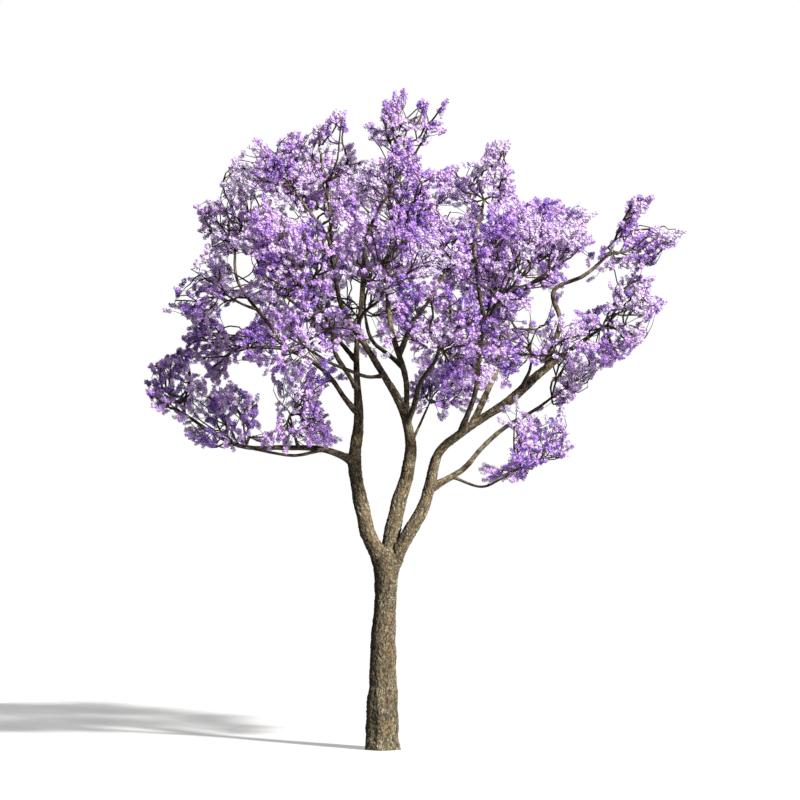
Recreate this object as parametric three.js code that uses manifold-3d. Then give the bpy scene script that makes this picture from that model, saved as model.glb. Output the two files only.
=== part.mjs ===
// Jacaranda in full bloom: a trunk that forks in three, tapering boughs,
// and one mass of twigs and blossom sprays on the tip of every bough.
// Millimetres, Z up, the foot of the trunk at the origin.
// X runs to the right of the photograph and Y away from its camera.
import * as THREE from 'three';
import Module from 'manifold-3d';

const wasm = await Module();
wasm.setup();
const { Manifold, Mesh } = wasm;

// Driving dimensions. Sizes in the tables are metres.
const METRE = 1000;
const JOINT_GAP = 0.3;            // clear gap between touching solids, mm
const CUT_GAP = 0.36;             // growth of a bough where a side bough is cut to it, mm
const TRUNK_SIDES = 15;
const ARM_SIDES = 10;             // on the fork's arms and the three limbs on them
const LIMB_SIDES = 6;
const RING_STEP = 0.42;           // length of bough for each ring
const ROOT_LOBES = 5;
const ROOT_LOBE_DEPTH = 0.055;    // share of the radius at the ground
const ROOT_LOBE_HEIGHT = 0.30;
const WANDER = 0.10;              // sideways wander of a bough, in its own diameters
const COLLAR = 0.30;              // swelling where a side bough leaves, share of its radius
const SPRAYS = 290;               // blossom sprays on the whole tree
const SPRAY_LENGTH = 0.60;
const SPRAY_WIDTH = 0.64;
const SPRAY_SIZES = [1, 0.88, 0.76, 0.64, 0.52];
const CORE = 0.62;                // share of a space that its twigs spread through
const TWIG_TIP = 0.020;           // diameter of the last twigs
const PATH_BALANCE = 0.35;        // 0 gives the shortest twigs, 1 the most direct ones
const SPACE_MARGIN = 0.045;       // gap between neighbouring spaces, share of their radii
const LIMB_CLEAR = 0.02;          // gap kept between a mass and other boughs

// Trunk: height, x, y, diameter
const TRUNK = [
  [0.00, 0.000, 0.00, 0.640],
  [0.12, 0.000, 0.00, 0.605],
  [0.30, 0.002, 0.00, 0.580],
  [0.54, 0.004, 0.00, 0.565],
  [0.85, 0.010, 0.00, 0.535],
  [1.12, 0.018, 0.00, 0.510],
  [1.58, 0.014, 0.00, 0.475],
  [2.05, 0.022, 0.00, 0.437],
  [2.51, 0.060, 0.00, 0.402],
  [2.86, 0.078, 0.00, 0.398],
  [3.12, 0.084, 0.00, 0.430],
  [3.32, 0.090, 0.00, 0.470],
  [3.50, 0.100, 0.00, 0.440],
  [3.64, 0.110, 0.01, 0.300],
];

// The three arms of the fork, from inside the trunk to their flat cuts
const FORK = {
  left_limb: [[0.070, 0.00, 3.16, 0.30], [-0.085, -0.015, 3.60, 0.285], [-0.270, -0.03, 3.95, 0.275]],
  middle_limb: [[0.100, 0.02, 3.16, 0.30], [0.130, 0.05, 3.62, 0.295], [0.205, 0.10, 4.06, 0.285]],
  right_limb: [[0.120, 0.00, 3.16, 0.28], [0.330, -0.03, 3.62, 0.262], [0.520, -0.06, 4.00, 0.248]],
};

// Boughs. path: x, y, z, diameter. The first point is moved onto the parent's centreline.
// centre and radii: the space of the mass on the bough's tip. reach: direction of its furthest tip.
const LIMBS = [
  {
    name: 'left_limb', from: 'trunk',
    path: [[-0.27, -0.03, 3.95, 0.275], [-0.41, -0.05, 4.62, 0.248], [-0.51, -0.07, 5.32, 0.208],
      [-0.40, -0.02, 6.10, 0.155], [-0.42, 0.10, 7.40, 0.110], [-0.20, 0.05, 9.30, 0.072],
      [0.34, 0.00, 10.45, 0.050]],
    mass: 'crest_mass', centre: [0.48, 0.00, 11.28], radii: [0.86, 1.00, 0.72], reach: [-0.08, 0, 1],
  },
  {
    name: 'middle_limb', from: 'trunk',
    path: [[0.205, 0.10, 4.06, 0.285], [0.31, 0.14, 4.50, 0.258], [0.48, 0.16, 5.05, 0.230],
      [0.53, 0.10, 5.75, 0.185], [0.10, -0.12, 6.75, 0.125], [-0.58, -0.30, 7.80, 0.100],
      [-0.90, -0.10, 8.90, 0.078], [-0.98, 0.05, 10.25, 0.048]],
    mass: 'upper_left_mass', centre: [-0.90, 0.10, 10.98], radii: [0.56, 0.72, 0.70], reach: [0.45, 0, 1],
  },
  {
    name: 'right_limb', from: 'trunk',
    path: [[0.52, -0.06, 4.00, 0.248], [0.74, -0.09, 4.38, 0.224], [0.88, -0.12, 4.80, 0.198],
      [1.05, -0.15, 5.40, 0.158], [1.45, -0.18, 5.77, 0.165], [2.20, -0.20, 6.20, 0.148],
      [2.80, -0.15, 6.82, 0.115], [3.40, -0.10, 7.26, 0.080], [3.88, -0.10, 7.60, 0.058]],
    mass: 'outer_right_mass', centre: [4.52, -0.15, 7.95], radii: [0.72, 1.15, 0.84], reach: [1, 0, 0.1],
  },
  {
    name: 'low_left_bough', from: 'left_limb',
    path: [[-0.50, -0.08, 5.24, 0.115], [-1.05, -0.12, 5.44, 0.098], [-1.80, -0.10, 5.48, 0.086],
      [-2.60, 0.00, 5.52, 0.074], [-3.48, 0.05, 6.04, 0.052]],
    mass: 'far_left_mass', centre: [-3.88, 0.10, 6.72], radii: [0.50, 0.90, 0.64], reach: [-1, 0, 0.1],
  },
  {
    name: 'under_left_bough', from: 'low_left_bough',
    path: [[-1.05, -0.12, 5.44, 0.060], [-1.60, -0.46, 5.36, 0.052], [-2.34, -0.70, 5.46, 0.042]],
    mass: 'low_left_mass', centre: [-2.82, -0.80, 6.00], radii: [0.84, 0.74, 0.60],
  },
  {
    name: 'hanging_left_bough', from: 'low_left_bough',
    path: [[-1.50, -0.10, 5.47, 0.056], [-1.58, -0.32, 5.72, 0.048], [-1.64, -0.48, 5.96, 0.042]],
    mass: 'hanging_left_mass', centre: [-1.38, -0.72, 6.34], radii: [0.66, 0.68, 0.74],
  },
  {
    name: 'left_bough', from: 'left_limb',
    path: [[-0.40, -0.02, 6.10, 0.098], [-1.05, -0.20, 6.85, 0.084], [-1.67, -0.15, 7.20, 0.072],
      [-2.30, 0.05, 7.30, 0.052]],
    mass: 'left_mass', centre: [-2.86, 0.35, 7.50], radii: [0.82, 1.25, 0.58],
  },
  {
    name: 'left_upper_bough', from: 'left_bough',
    path: [[-1.62, -0.15, 7.18, 0.068], [-2.15, -0.25, 7.85, 0.060], [-2.60, -0.10, 8.45, 0.054],
      [-2.66, 0.05, 9.05, 0.044]],
    mass: 'upper_outer_left_mass', centre: [-2.72, 0.20, 9.82], radii: [0.68, 1.20, 0.82],
  },
  {
    name: 'outer_left_bough', from: 'left_upper_bough',
    path: [[-2.28, -0.22, 8.02, 0.048], [-2.46, -0.42, 8.10, 0.044], [-2.78, -0.56, 8.27, 0.038]],
    mass: 'outer_left_mass', centre: [-3.26, -0.70, 8.36], radii: [0.70, 1.00, 0.62],
  },
  {
    name: 'left_front_bough', from: 'left_limb',
    path: [[-0.40, 0.02, 6.60, 0.090], [-0.73, -0.50, 6.98, 0.078], [-0.95, -1.10, 7.70, 0.064],
      [-1.15, -1.50, 8.20, 0.048]],
    mass: 'left_front_mass', centre: [-1.50, -1.95, 8.88], radii: [1.00, 1.00, 0.88],
  },
  {
    name: 'top_left_bough', from: 'middle_limb',
    path: [[-0.91, -0.07, 9.10, 0.056], [-1.14, -0.16, 9.55, 0.050], [-1.54, -0.20, 10.12, 0.040]],
    mass: 'top_left_mass', centre: [-1.84, -0.40, 10.60], radii: [0.76, 1.15, 0.70], reach: [-0.2, 0, 1],
  },
  {
    name: 'back_left_bough', from: 'left_limb',
    path: [[-0.42, 0.08, 7.10, 0.086], [-0.85, 0.72, 7.52, 0.074], [-1.45, 1.40, 8.00, 0.060],
      [-1.78, 1.80, 8.28, 0.048]],
    mass: 'back_left_mass', centre: [-2.20, 2.35, 8.62], radii: [1.05, 1.10, 0.98],
  },
  {
    name: 'centre_bough', from: 'left_limb',
    path: [[-0.30, 0.08, 8.45, 0.064], [0.05, -0.38, 8.82, 0.056], [0.34, -0.82, 9.20, 0.046]],
    mass: 'centre_top_mass', centre: [0.40, -1.22, 9.86], radii: [0.98, 0.98, 0.86],
  },
  {
    name: 'inner_back_bough', from: 'middle_limb',
    path: [[0.54, 0.12, 5.80, 0.120], [0.40, 0.36, 6.60, 0.102], [0.20, 0.62, 7.40, 0.088],
      [0.10, 0.90, 8.30, 0.070], [0.14, 1.16, 9.00, 0.052]],
    mass: 'back_top_mass', centre: [0.22, 1.48, 9.94], radii: [1.08, 1.08, 0.96],
  },
  {
    name: 'right_inner_bough', from: 'inner_back_bough',
    path: [[0.26, 0.55, 7.15, 0.078], [0.54, 0.36, 7.72, 0.068], [0.95, 0.28, 8.20, 0.058],
      [1.22, 0.32, 8.66, 0.046]],
    mass: 'right_inner_mass', centre: [1.42, 0.42, 9.34], radii: [0.90, 0.95, 0.82],
  },
  {
    name: 'front_centre_bough', from: 'middle_limb',
    path: [[0.50, 0.06, 5.95, 0.092], [0.70, -0.50, 6.45, 0.076], [0.90, -1.16, 6.98, 0.062],
      [1.00, -1.58, 7.22, 0.048]],
    mass: 'front_centre_mass', centre: [1.06, -2.15, 7.74], radii: [0.98, 0.98, 0.76],
  },
  {
    name: 'under_centre_bough', from: 'middle_limb',
    path: [[0.53, 0.14, 5.52, 0.054], [0.74, 0.30, 5.92, 0.044], [0.88, 0.36, 6.20, 0.036]],
    mass: 'under_centre_mass', centre: [1.10, 0.42, 6.56], radii: [0.66, 0.62, 0.46],
  },
  {
    name: 'left_centre_bough', from: 'middle_limb',
    path: [[0.08, -0.13, 6.80, 0.076], [-0.45, -0.58, 6.82, 0.066], [-1.00, -1.18, 7.08, 0.056],
      [-1.24, -1.52, 7.24, 0.046]],
    mass: 'front_left_mass', centre: [-1.38, -2.08, 7.52], radii: [0.98, 0.94, 0.68],
  },
  {
    name: 'back_bough', from: 'inner_back_bough',
    path: [[0.32, 0.46, 6.95, 0.086], [0.02, 1.20, 7.28, 0.074], [-0.26, 1.98, 7.60, 0.060],
      [-0.36, 2.46, 7.88, 0.048]],
    mass: 'back_mass', centre: [-0.36, 3.05, 8.40], radii: [1.10, 1.05, 1.00],
  },
  {
    name: 'lower_right_bough', from: 'right_limb',
    path: [[0.84, -0.12, 4.74, 0.118], [1.44, -0.04, 5.07, 0.100], [1.80, 0.10, 5.47, 0.088],
      [2.36, 0.22, 5.98, 0.074], [2.98, 0.26, 6.36, 0.050]],
    mass: 'lower_right_mass', centre: [3.36, 0.40, 6.72], radii: [0.66, 1.00, 0.54],
  },
  {
    name: 'hanging_right_bough', from: 'lower_right_bough',
    path: [[1.26, -0.07, 4.97, 0.052], [1.78, -0.32, 4.78, 0.046], [2.14, -0.45, 4.92, 0.040],
      [2.42, -0.50, 5.08, 0.034]],
    mass: 'hanging_right_mass', centre: [2.88, -0.55, 5.52], radii: [0.72, 0.85, 0.64],
  },
  {
    name: 'right_rising_bough', from: 'right_limb',
    path: [[1.42, -0.18, 5.75, 0.122], [1.62, -0.42, 6.50, 0.110], [1.72, -0.50, 7.20, 0.098],
      [1.90, -0.32, 7.92, 0.082], [2.36, -0.05, 8.45, 0.066], [2.66, 0.10, 8.76, 0.052]],
    mass: 'upper_right_mass', centre: [2.98, 0.30, 9.42], radii: [0.84, 1.30, 0.78],
  },
  {
    name: 'right_back_bough', from: 'right_limb',
    path: [[1.62, -0.19, 5.86, 0.110], [1.86, 0.32, 6.36, 0.094], [2.02, 0.92, 6.90, 0.078],
      [2.10, 1.50, 7.32, 0.062], [2.14, 1.88, 7.60, 0.050]],
    mass: 'back_right_mass', centre: [2.20, 2.50, 8.12], radii: [1.04, 1.10, 0.96],
  },
  {
    name: 'upper_right_bough', from: 'right_rising_bough',
    path: [[1.84, -0.38, 7.75, 0.068], [1.72, -0.56, 8.60, 0.060], [1.68, -0.46, 9.30, 0.054],
      [1.82, -0.22, 9.92, 0.044]],
    mass: 'top_right_mass', centre: [1.74, -0.10, 10.44], radii: [0.88, 1.15, 0.74], reach: [0.65, 0, 1],
  },
  {
    name: 'right_fork_bough', from: 'right_limb',
    path: [[2.98, -0.13, 6.96, 0.086], [3.26, 0.02, 7.72, 0.076], [3.17, 0.05, 8.32, 0.068],
      [3.64, 0.10, 8.62, 0.058], [4.10, 0.10, 8.98, 0.046]],
    mass: 'far_right_mass', centre: [4.72, 0.15, 9.40], radii: [0.74, 1.05, 0.76], reach: [1, 0, -0.05],
  },
  {
    name: 'low_front_right_bough', from: 'right_limb',
    path: [[2.55, -0.17, 6.55, 0.058], [2.66, -0.50, 6.86, 0.050], [2.64, -0.78, 7.12, 0.042]],
    mass: 'low_front_right_mass', centre: [2.68, -1.10, 7.46], radii: [0.86, 0.78, 0.54],
  },
  {
    name: 'front_right_bough', from: 'right_rising_bough',
    path: [[1.70, -0.49, 7.05, 0.074], [1.92, -0.98, 7.66, 0.062], [2.08, -1.40, 8.08, 0.050]],
    mass: 'front_right_mass', centre: [2.30, -1.90, 8.74], radii: [1.00, 1.00, 0.86],
  },
  {
    name: 'front_bough', from: 'middle_limb',
    path: [[-0.40, -0.26, 7.55, 0.066], [-0.28, -0.92, 7.92, 0.056], [-0.10, -1.52, 8.18, 0.048],
      [0.00, -1.82, 8.30, 0.042]],
    mass: 'front_mass', centre: [0.16, -2.42, 8.82], radii: [0.86, 0.88, 0.78],
  },
  {
    name: 'back_upper_bough', from: 'middle_limb',
    path: [[-0.88, -0.12, 8.80, 0.060], [-1.02, 0.42, 9.16, 0.052], [-1.12, 0.80, 9.42, 0.044]],
    mass: 'back_upper_mass', centre: [-1.08, 1.22, 10.06], radii: [1.05, 1.02, 0.90],
  },
];

const BARK = new THREE.MeshStandardMaterial({ color: '#6f5f4a', roughness: 0.95, metalness: 0 });
const BLOSSOM = new THREE.MeshStandardMaterial({ color: '#8a68c4', roughness: 0.8, metalness: 0 });

// Seeded numbers from 0 to 1, the same in every run
function seeded(seed) {
  let state = seed;
  const next = () => {
    state = (state * 1664525 + 1013904223) % 4294967296;
    return state / 4294967296;
  };
  next();
  next();
  next();
  return next;
}

const vector = (point) => new THREE.Vector3(point[0], point[1], point[2]).multiplyScalar(METRE);

// Smooth line through waypoints, each entry a point and the radius there
function centreline(path, seed) {
  const points = path.map(vector);
  const last = points.length - 1;
  const random = seeded(seed);
  const turn = [random() * 6.2832, random() * 6.2832];
  let length = 0;
  for (let i = 0; i < last; i += 1) {
    length += points[i].distanceTo(points[i + 1]);
  }
  const line = [];
  let done = 0;
  for (let i = 0; i < last; i += 1) {
    const span = points[i].distanceTo(points[i + 1]);
    const before = points[Math.max(i - 1, 0)];
    const after = points[Math.min(i + 2, last)];
    const steps = Math.max(2, Math.round(span / METRE / RING_STEP));
    for (let k = i === 0 ? 0 : 1; k <= steps; k += 1) {
      const t = k / steps;
      const u = t * t;
      const v = u * t;
      const point = new THREE.Vector3()
        .addScaledVector(before, -0.5 * v + u - 0.5 * t)
        .addScaledVector(points[i], 1.5 * v - 2.5 * u + 1)
        .addScaledVector(points[i + 1], -1.5 * v + 2 * u + 0.5 * t)
        .addScaledVector(after, 0.5 * v - 0.5 * u);
      const radius = (path[i][3] + (path[i + 1][3] - path[i][3]) * t) * METRE / 2;
      const along = done + span * t;
      const share = along / length;
      const ends = Math.sin(Math.PI * share);
      const sway = WANDER * 2 * radius * ends;
      point.x += sway * Math.sin(along / (7 * METRE * path[0][3] + 300) + turn[0]);
      point.y += sway * Math.cos(along / (6 * METRE * path[0][3] + 260) + turn[1]);
      line.push({ point, radius });
    }
    done += span;
  }
  return line;
}

// Rings of points round a centreline, each square to it, with no twist between them
function ringsAlong(line, sides, extra = 0) {
  const rings = [];
  let side = new THREE.Vector3(0, 1, 0);
  for (let i = 0; i < line.length; i += 1) {
    const ahead = line[Math.min(i + 1, line.length - 1)].point;
    const behind = line[Math.max(i - 1, 0)].point;
    const tangent = ahead.clone().sub(behind).normalize();
    side = side.clone().addScaledVector(tangent, -side.dot(tangent)).normalize();
    const other = tangent.clone().cross(side);
    const ring = [];
    for (let k = 0; k < sides; k += 1) {
      const angle = 2 * Math.PI * k / sides;
      ring.push(line[i].point.clone()
        .addScaledVector(side, Math.cos(angle) * (line[i].radius + extra))
        .addScaledVector(other, Math.sin(angle) * (line[i].radius + extra)));
    }
    rings.push(ring);
  }
  return rings;
}

// Closed solid skinned over rings of equal count, flat at its ends or brought to a point
function skin(rings, apex) {
  const sides = rings[0].length;
  const points = rings.flat();
  const faces = [];
  for (let i = 0; i + 1 < rings.length; i += 1) {
    for (let k = 0; k < sides; k += 1) {
      const a = i * sides + k;
      const b = i * sides + (k + 1) % sides;
      faces.push(a, b, b + sides, a, b + sides, a + sides);
    }
  }
  const top = (rings.length - 1) * sides;
  for (let k = 1; k + 1 < sides; k += 1) {
    faces.push(0, k + 1, k);
    if (!apex) {
      faces.push(top, top + k, top + k + 1);
    }
  }
  if (apex) {
    const point = points.push(apex) - 1;
    for (let k = 0; k < sides; k += 1) {
      faces.push(point, top + k, top + (k + 1) % sides);
    }
  }
  return solidOf(points, faces);
}

function solidOf(points, faces) {
  const mesh = new Mesh({
    numProp: 3,
    vertProperties: new Float32Array(points.flatMap((p) => [p.x, p.y, p.z])),
    triVerts: new Uint32Array(faces),
  });
  const solid = new Manifold(mesh);
  return solid.volume() < 0 ? solidOf(points, faces.toReversed()) : solid;
}

function largest(solid) {
  const pieces = solid.decompose();
  return pieces.reduce((best, piece) => (piece.volume() > best.volume() ? piece : best));
}

function addNode(group, name, solid, material) {
  const data = solid.getMesh();
  const geometry = new THREE.BufferGeometry();
  geometry.setAttribute('position', new THREE.BufferAttribute(data.vertProperties, 3));
  geometry.setIndex(new THREE.BufferAttribute(data.triVerts, 1));
  geometry.computeVertexNormals();
  const node = new THREE.Mesh(geometry, material);
  node.name = name;
  group.add(node);
}

// Trunk with root lobes at the ground and the three arms of its fork
function trunkSolid() {
  const rings = TRUNK.map(([height, x, y, diameter]) => {
    const ring = [];
    for (let k = 0; k < TRUNK_SIDES; k += 1) {
      const angle = 2 * Math.PI * k / TRUNK_SIDES;
      const lobe = ROOT_LOBE_DEPTH * Math.exp(-height / ROOT_LOBE_HEIGHT)
        * Math.cos(ROOT_LOBES * angle + 0.7);
      const radius = diameter / 2 * (1 + lobe) * METRE;
      ring.push(new THREE.Vector3(
        x * METRE + Math.cos(angle) * radius,
        y * METRE + Math.sin(angle) * radius,
        height * METRE,
      ));
    }
    return ring;
  });
  const parts = [skin(rings)];
  for (const path of Object.values(FORK)) {
    parts.push(skin(ringsAlong(forkLine(path), ARM_SIDES)));
  }
  return largest(Manifold.union(parts));
}

function forkLine(path) {
  return path.map((entry) => ({ point: vector(entry), radius: entry[3] * METRE / 2 }));
}

function nearestOn(line, point) {
  let best = null;
  let least = Infinity;
  for (let i = 0; i + 1 < line.length; i += 1) {
    const a = line[i].point;
    const step = line[i + 1].point.clone().sub(a);
    const t = Math.min(1, Math.max(0, point.clone().sub(a).dot(step) / step.lengthSq()));
    const spot = a.clone().addScaledVector(step, t);
    const distance = spot.distanceTo(point);
    if (distance < least) {
      least = distance;
      best = spot;
    }
  }
  return best;
}

// Centreline of a bough: off the trunk it starts clear of the fork's flat cut,
// off a bough it starts on that bough's centreline and swells to a collar
function limbLine(limb, seed, lines) {
  if (limb.from === 'trunk') {
    const line = centreline(limb.path, seed);
    const arm = FORK[limb.name];
    const run = vector(arm[2]).sub(vector(arm[1])).normalize();
    line[0].point = vector(arm[2]).addScaledVector(run, JOINT_GAP);
    line[0].run = run;
    return line;
  }
  const foot = nearestOn(lines.get(limb.from), vector(limb.path[0])).divideScalar(METRE);
  const path = [[foot.x, foot.y, foot.z, limb.path[0][3]], ...limb.path.slice(1)];
  const line = centreline(path, seed);
  line[0].radius *= 1 + COLLAR;
  line[1].radius *= 1 + COLLAR * 0.3;
  return line;
}

function limbRings(line, extra) {
  const sides = line[0].run ? ARM_SIDES : LIMB_SIDES;
  const rings = ringsAlong(line, sides, extra);
  // the first ring is square to the fork's cut, so the two flat faces match
  if (line[0].run) {
    const start = [line[0], { point: line[0].point.clone().add(line[0].run), radius: line[0].radius }];
    rings[0] = ringsAlong(start, sides, extra)[0];
  }
  return rings;
}

// How far out a point lies in a mass's space: 0 at its centre, 1 on its skin
function depthIn(mass, point) {
  const x = (point.x - mass.centre.x) / mass.radii.x;
  const y = (point.y - mass.centre.y) / mass.radii.y;
  const z = (point.z - mass.centre.z) / mass.radii.z;
  return Math.sqrt(x * x + y * y + z * z);
}

function inOwnSpace(mass, masses, point, limit) {
  const own = depthIn(mass, point);
  if (own > limit) {
    return false;
  }
  return masses.every((other) => other === mass || depthIn(other, point) > own + SPACE_MARGIN);
}

function clearOfLimbs(mass, lines, point, size) {
  for (const [name, line] of lines) {
    for (let i = 0; i + 1 < line.length; i += 1) {
      const a = line[i].point;
      if (a.distanceTo(mass.centre) < 3 * METRE) {
        const spot = nearestOn([line[i], line[i + 1]], point);
        const reach = name === mass.limb && i + 3 > line.length ? 0 : LIMB_CLEAR * METRE;
        if (spot.distanceTo(point) < line[i].radius + size + reach) {
          return false;
        }
      }
    }
  }
  return true;
}

// Even seeded points in a mass's space, each the best of a few candidates
function pointsIn(mass, masses, lines, count, random) {
  const kept = [];
  for (let tries = 0; kept.length < count && tries < count * 3; tries += 1) {
    let best = null;
    let most = -1;
    for (let k = 0; k < 10; k += 1) {
      const spot = new THREE.Vector3(random() * 2 - 1, random() * 2 - 1, random() * 2 - 1);
      if (spot.length() > 1) {
        continue;
      }
      const point = spot.multiplyScalar(CORE).multiply(mass.radii).add(mass.centre);
      if (!inOwnSpace(mass, masses, point, CORE) || !clearOfLimbs(mass, lines, point, 60)) {
        continue;
      }
      const room = Math.min(mass.foot.distanceTo(point), ...kept.map((p) => p.distanceTo(point)));
      if (room > most) {
        most = room;
        best = point;
      }
    }
    if (best) {
      kept.push(best);
    }
  }
  return kept;
}

// The growth rule: each new point joins the twig that costs the least,
// counted as the way to it plus a share of that twig's own way from the stem
function grow(mass, masses, lines, points) {
  const twigs = [{ point: mass.foot, parent: -1, way: 0 }];
  const waiting = [...points];
  while (waiting.length > 0) {
    let pick = null;
    for (let w = 0; w < waiting.length; w += 1) {
      for (let t = 0; t < twigs.length; t += 1) {
        const span = twigs[t].point.distanceTo(waiting[w]);
        const cost = span + PATH_BALANCE * twigs[t].way;
        if (!pick || cost < pick.cost) {
          pick = { w, t, span, cost };
        }
      }
    }
    const point = waiting.splice(pick.w, 1)[0];
    let free = true;
    for (let k = 1; k <= 6; k += 1) {
      const spot = twigs[pick.t].point.clone().lerp(point, k / 6);
      free = free && inOwnSpace(mass, masses, spot, 1) && clearOfLimbs(mass, lines, spot, 25);
    }
    if (free || pick.t === 0) {
      twigs.push({ point, parent: pick.t, way: twigs[pick.t].way + pick.span });
    }
  }
  return twigs;
}

// Twigs as three-sided tubes. The heaviest branch runs on through each node and
// ends in a blossom spray, the others start inside it, and a node that twigs run
// through carries its spray on a short stalk.
function massSolid(mass, masses, lines, count, seed) {
  const random = seeded(seed);
  const points = pointsIn(mass, masses, lines, count, random);
  const outward = mass.reach.clone().normalize();
  const far = mass.centre.clone().add(outward.clone().multiply(mass.radii));
  const farAxis = far.clone().sub(mass.centre).normalize();
  const length = SPRAY_LENGTH * METRE * mass.scale;
  const lead = far.clone().addScaledVector(farAxis, -length);
  points.push(lead);
  const twigs = grow(mass, masses, lines, points);
  const load = twigs.map(() => 1);
  const heir = twigs.map(() => -1);
  for (let i = twigs.length - 1; i > 0; i -= 1) {
    const parent = twigs[i].parent;
    load[parent] += load[i];
    if (heir[parent] < 0 || load[i] > load[heir[parent]]) {
      heir[parent] = i;
    }
  }
  const tip = TWIG_TIP * METRE / 2;
  const stem = mass.tipRadius;
  const radiusAt = (i) => Math.min(stem, tip + (stem - tip) * Math.sqrt((load[i] - 1) / load[0]));

  // a spray's axis from its node, and the largest size that fits the space
  const sprayAt = (point, run, leading) => {
    const out = point.clone().sub(mass.centre).divideScalar(mass.radii.x);
    const axis = leading ? farAxis
      : run.clone().addScaledVector(out, 0.4).add(new THREE.Vector3(0, 0, 0.25)).normalize();
    for (const size of SPRAY_SIZES) {
      const long = length * (leading ? 1 : size);
      const width = long * SPRAY_WIDTH / SPRAY_LENGTH;
      if (leading || sprayFits(mass, masses, lines, point, axis, long, width)) {
        return {
          middle: { point: point.clone().addScaledVector(axis, long * 0.4), radius: width / 2 },
          apex: point.clone().addScaledVector(axis, long),
        };
      }
    }
    return null;
  };

  const parts = [];
  for (let i = 0; i < twigs.length; i += 1) {
    const parent = twigs[i].parent;
    if (i === 0 || heir[parent] !== i) {
      const line = [];
      if (i === 0) {
        line.push({ point: mass.start, radius: stem });
      } else {
        const root = twigs[parent].point.clone().lerp(twigs[heir[parent]].point, 0.1);
        line.push({ point: root, radius: Math.min(radiusAt(parent) * 0.5, radiusAt(i)) });
      }
      let last = i;
      for (let k = i; k >= 0; k = heir[k]) {
        line.push({ point: twigs[k].point, radius: radiusAt(k) });
        last = k;
      }
      const run = line[line.length - 1].point.clone().sub(line[line.length - 2].point).normalize();
      const spray = sprayAt(twigs[last].point, run, twigs[last].point === lead);
      if (spray) {
        line.push(spray.middle);
      }
      parts.push(skin(ringsAlong(line, 3), spray ? spray.apex : null));
    }
    if (i > 0 && heir[i] >= 0) {
      const on = twigs[heir[i]].point.clone().sub(twigs[i].point).normalize();
      const came = twigs[i].point.clone().sub(twigs[parent].point).normalize();
      const side = came.sub(on);
      const turn = new THREE.Vector3(random() - 0.5, random() - 0.5, random() - 0.5);
      side.addScaledVector(turn, 1.2).addScaledVector(on, -side.dot(on)).normalize();
      const spray = sprayAt(twigs[i].point, side, twigs[i].point === lead);
      if (spray) {
        const root = { point: twigs[i].point, radius: radiusAt(i) * 0.45 };
        parts.push(skin(ringsAlong([root, spray.middle], 3), spray.apex));
      }
    }
  }
  return largest(Manifold.union(parts));
}

function sprayFits(mass, masses, lines, root, axis, length, width) {
  const side = new THREE.Vector3(axis.y, axis.z, axis.x).cross(axis).normalize();
  const other = axis.clone().cross(side);
  for (let k = 0; k <= 5; k += 1) {
    const share = k / 5;
    const half = (share < 0.4 ? share / 0.4 : (1 - share) / 0.6) * width / 2;
    const spot = root.clone().addScaledVector(axis, length * share);
    if (!clearOfLimbs(mass, lines, spot, half)) {
      return false;
    }
    for (const [a, b] of [[1, 0], [-0.5, 0.87], [-0.5, -0.87], [0.5, 0.87], [-1, 0], [0.5, -0.87]]) {
      const edge = spot.clone().addScaledVector(side, a * half).addScaledVector(other, b * half);
      if (!inOwnSpace(mass, masses, edge, 1.001)) {
        return false;
      }
    }
  }
  return true;
}

function buildTree() {
  const tree = new THREE.Group();
  tree.name = 'jacaranda';
  const lines = new Map();
  const solids = new Map();
  const trunk = trunkSolid();
  solids.set('trunk', trunk);
  LIMBS.forEach((limb, index) => {
    const line = limbLine(limb, 101 + index, lines);
    lines.set(limb.name, line);
    let solid = skin(limbRings(line, 0));
    if (limb.from !== 'trunk') {
      const parent = skin(limbRings(lines.get(limb.from), CUT_GAP));
      solid = largest(solid.subtract(parent));
    }
    solids.set(limb.name, solid);
  });

  const masses = LIMBS.map((limb) => {
    const line = lines.get(limb.name);
    const end = line[line.length - 1];
    const run = end.point.clone().sub(line[line.length - 2].point).normalize();
    const centre = vector(limb.centre);
    const radii = vector(limb.radii);
    const foot = end.point.clone().addScaledVector(run, end.radius * 2.2 + 60);
    const reach = limb.reach ? new THREE.Vector3(...limb.reach) : centre.clone().sub(foot).normalize();
    const area = limb.radii[0] * limb.radii[2] + limb.radii[1] * limb.radii[2];
    return {
      name: limb.mass,
      limb: limb.name,
      centre,
      radii,
      foot,
      reach,
      area,
      start: end.point.clone().addScaledVector(run, JOINT_GAP),
      tipRadius: end.radius,
      scale: Math.min(1.1, Math.max(0.7, Math.cbrt(radii.x * radii.y * radii.z) / (0.85 * METRE))),
    };
  });
  const total = masses.reduce((sum, mass) => sum + mass.area, 0);
  masses.forEach((mass, index) => {
    const count = Math.round(SPRAYS * mass.area / total);
    solids.set(mass.name, massSolid(mass, masses, lines, count, 501 + index * 37));
  });

  for (const [name, solid] of solids) {
    addNode(tree, name, solid, name.endsWith('_mass') ? BLOSSOM : BARK);
  }
  return tree;
}

export default buildTree();
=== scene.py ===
# Jacaranda in full bloom, dressed on the solids of its frame.
# The trunk and boughs get a skin of bark with real relief. On every bough's tip the
# twigs branch by the same seeded rule as the solids, carried on to finer twigs, and
# the blossom stands on them in sprays.
# Metres, Z up, the foot of the trunk at the origin. X runs to the right of the
# photograph and Y away from its camera.
import math

import bmesh
import bpy
import numpy as np
from bpy.props import FloatProperty, FloatVectorProperty, IntProperty, PointerProperty
from mathutils import Matrix, Vector, kdtree, noise


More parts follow.
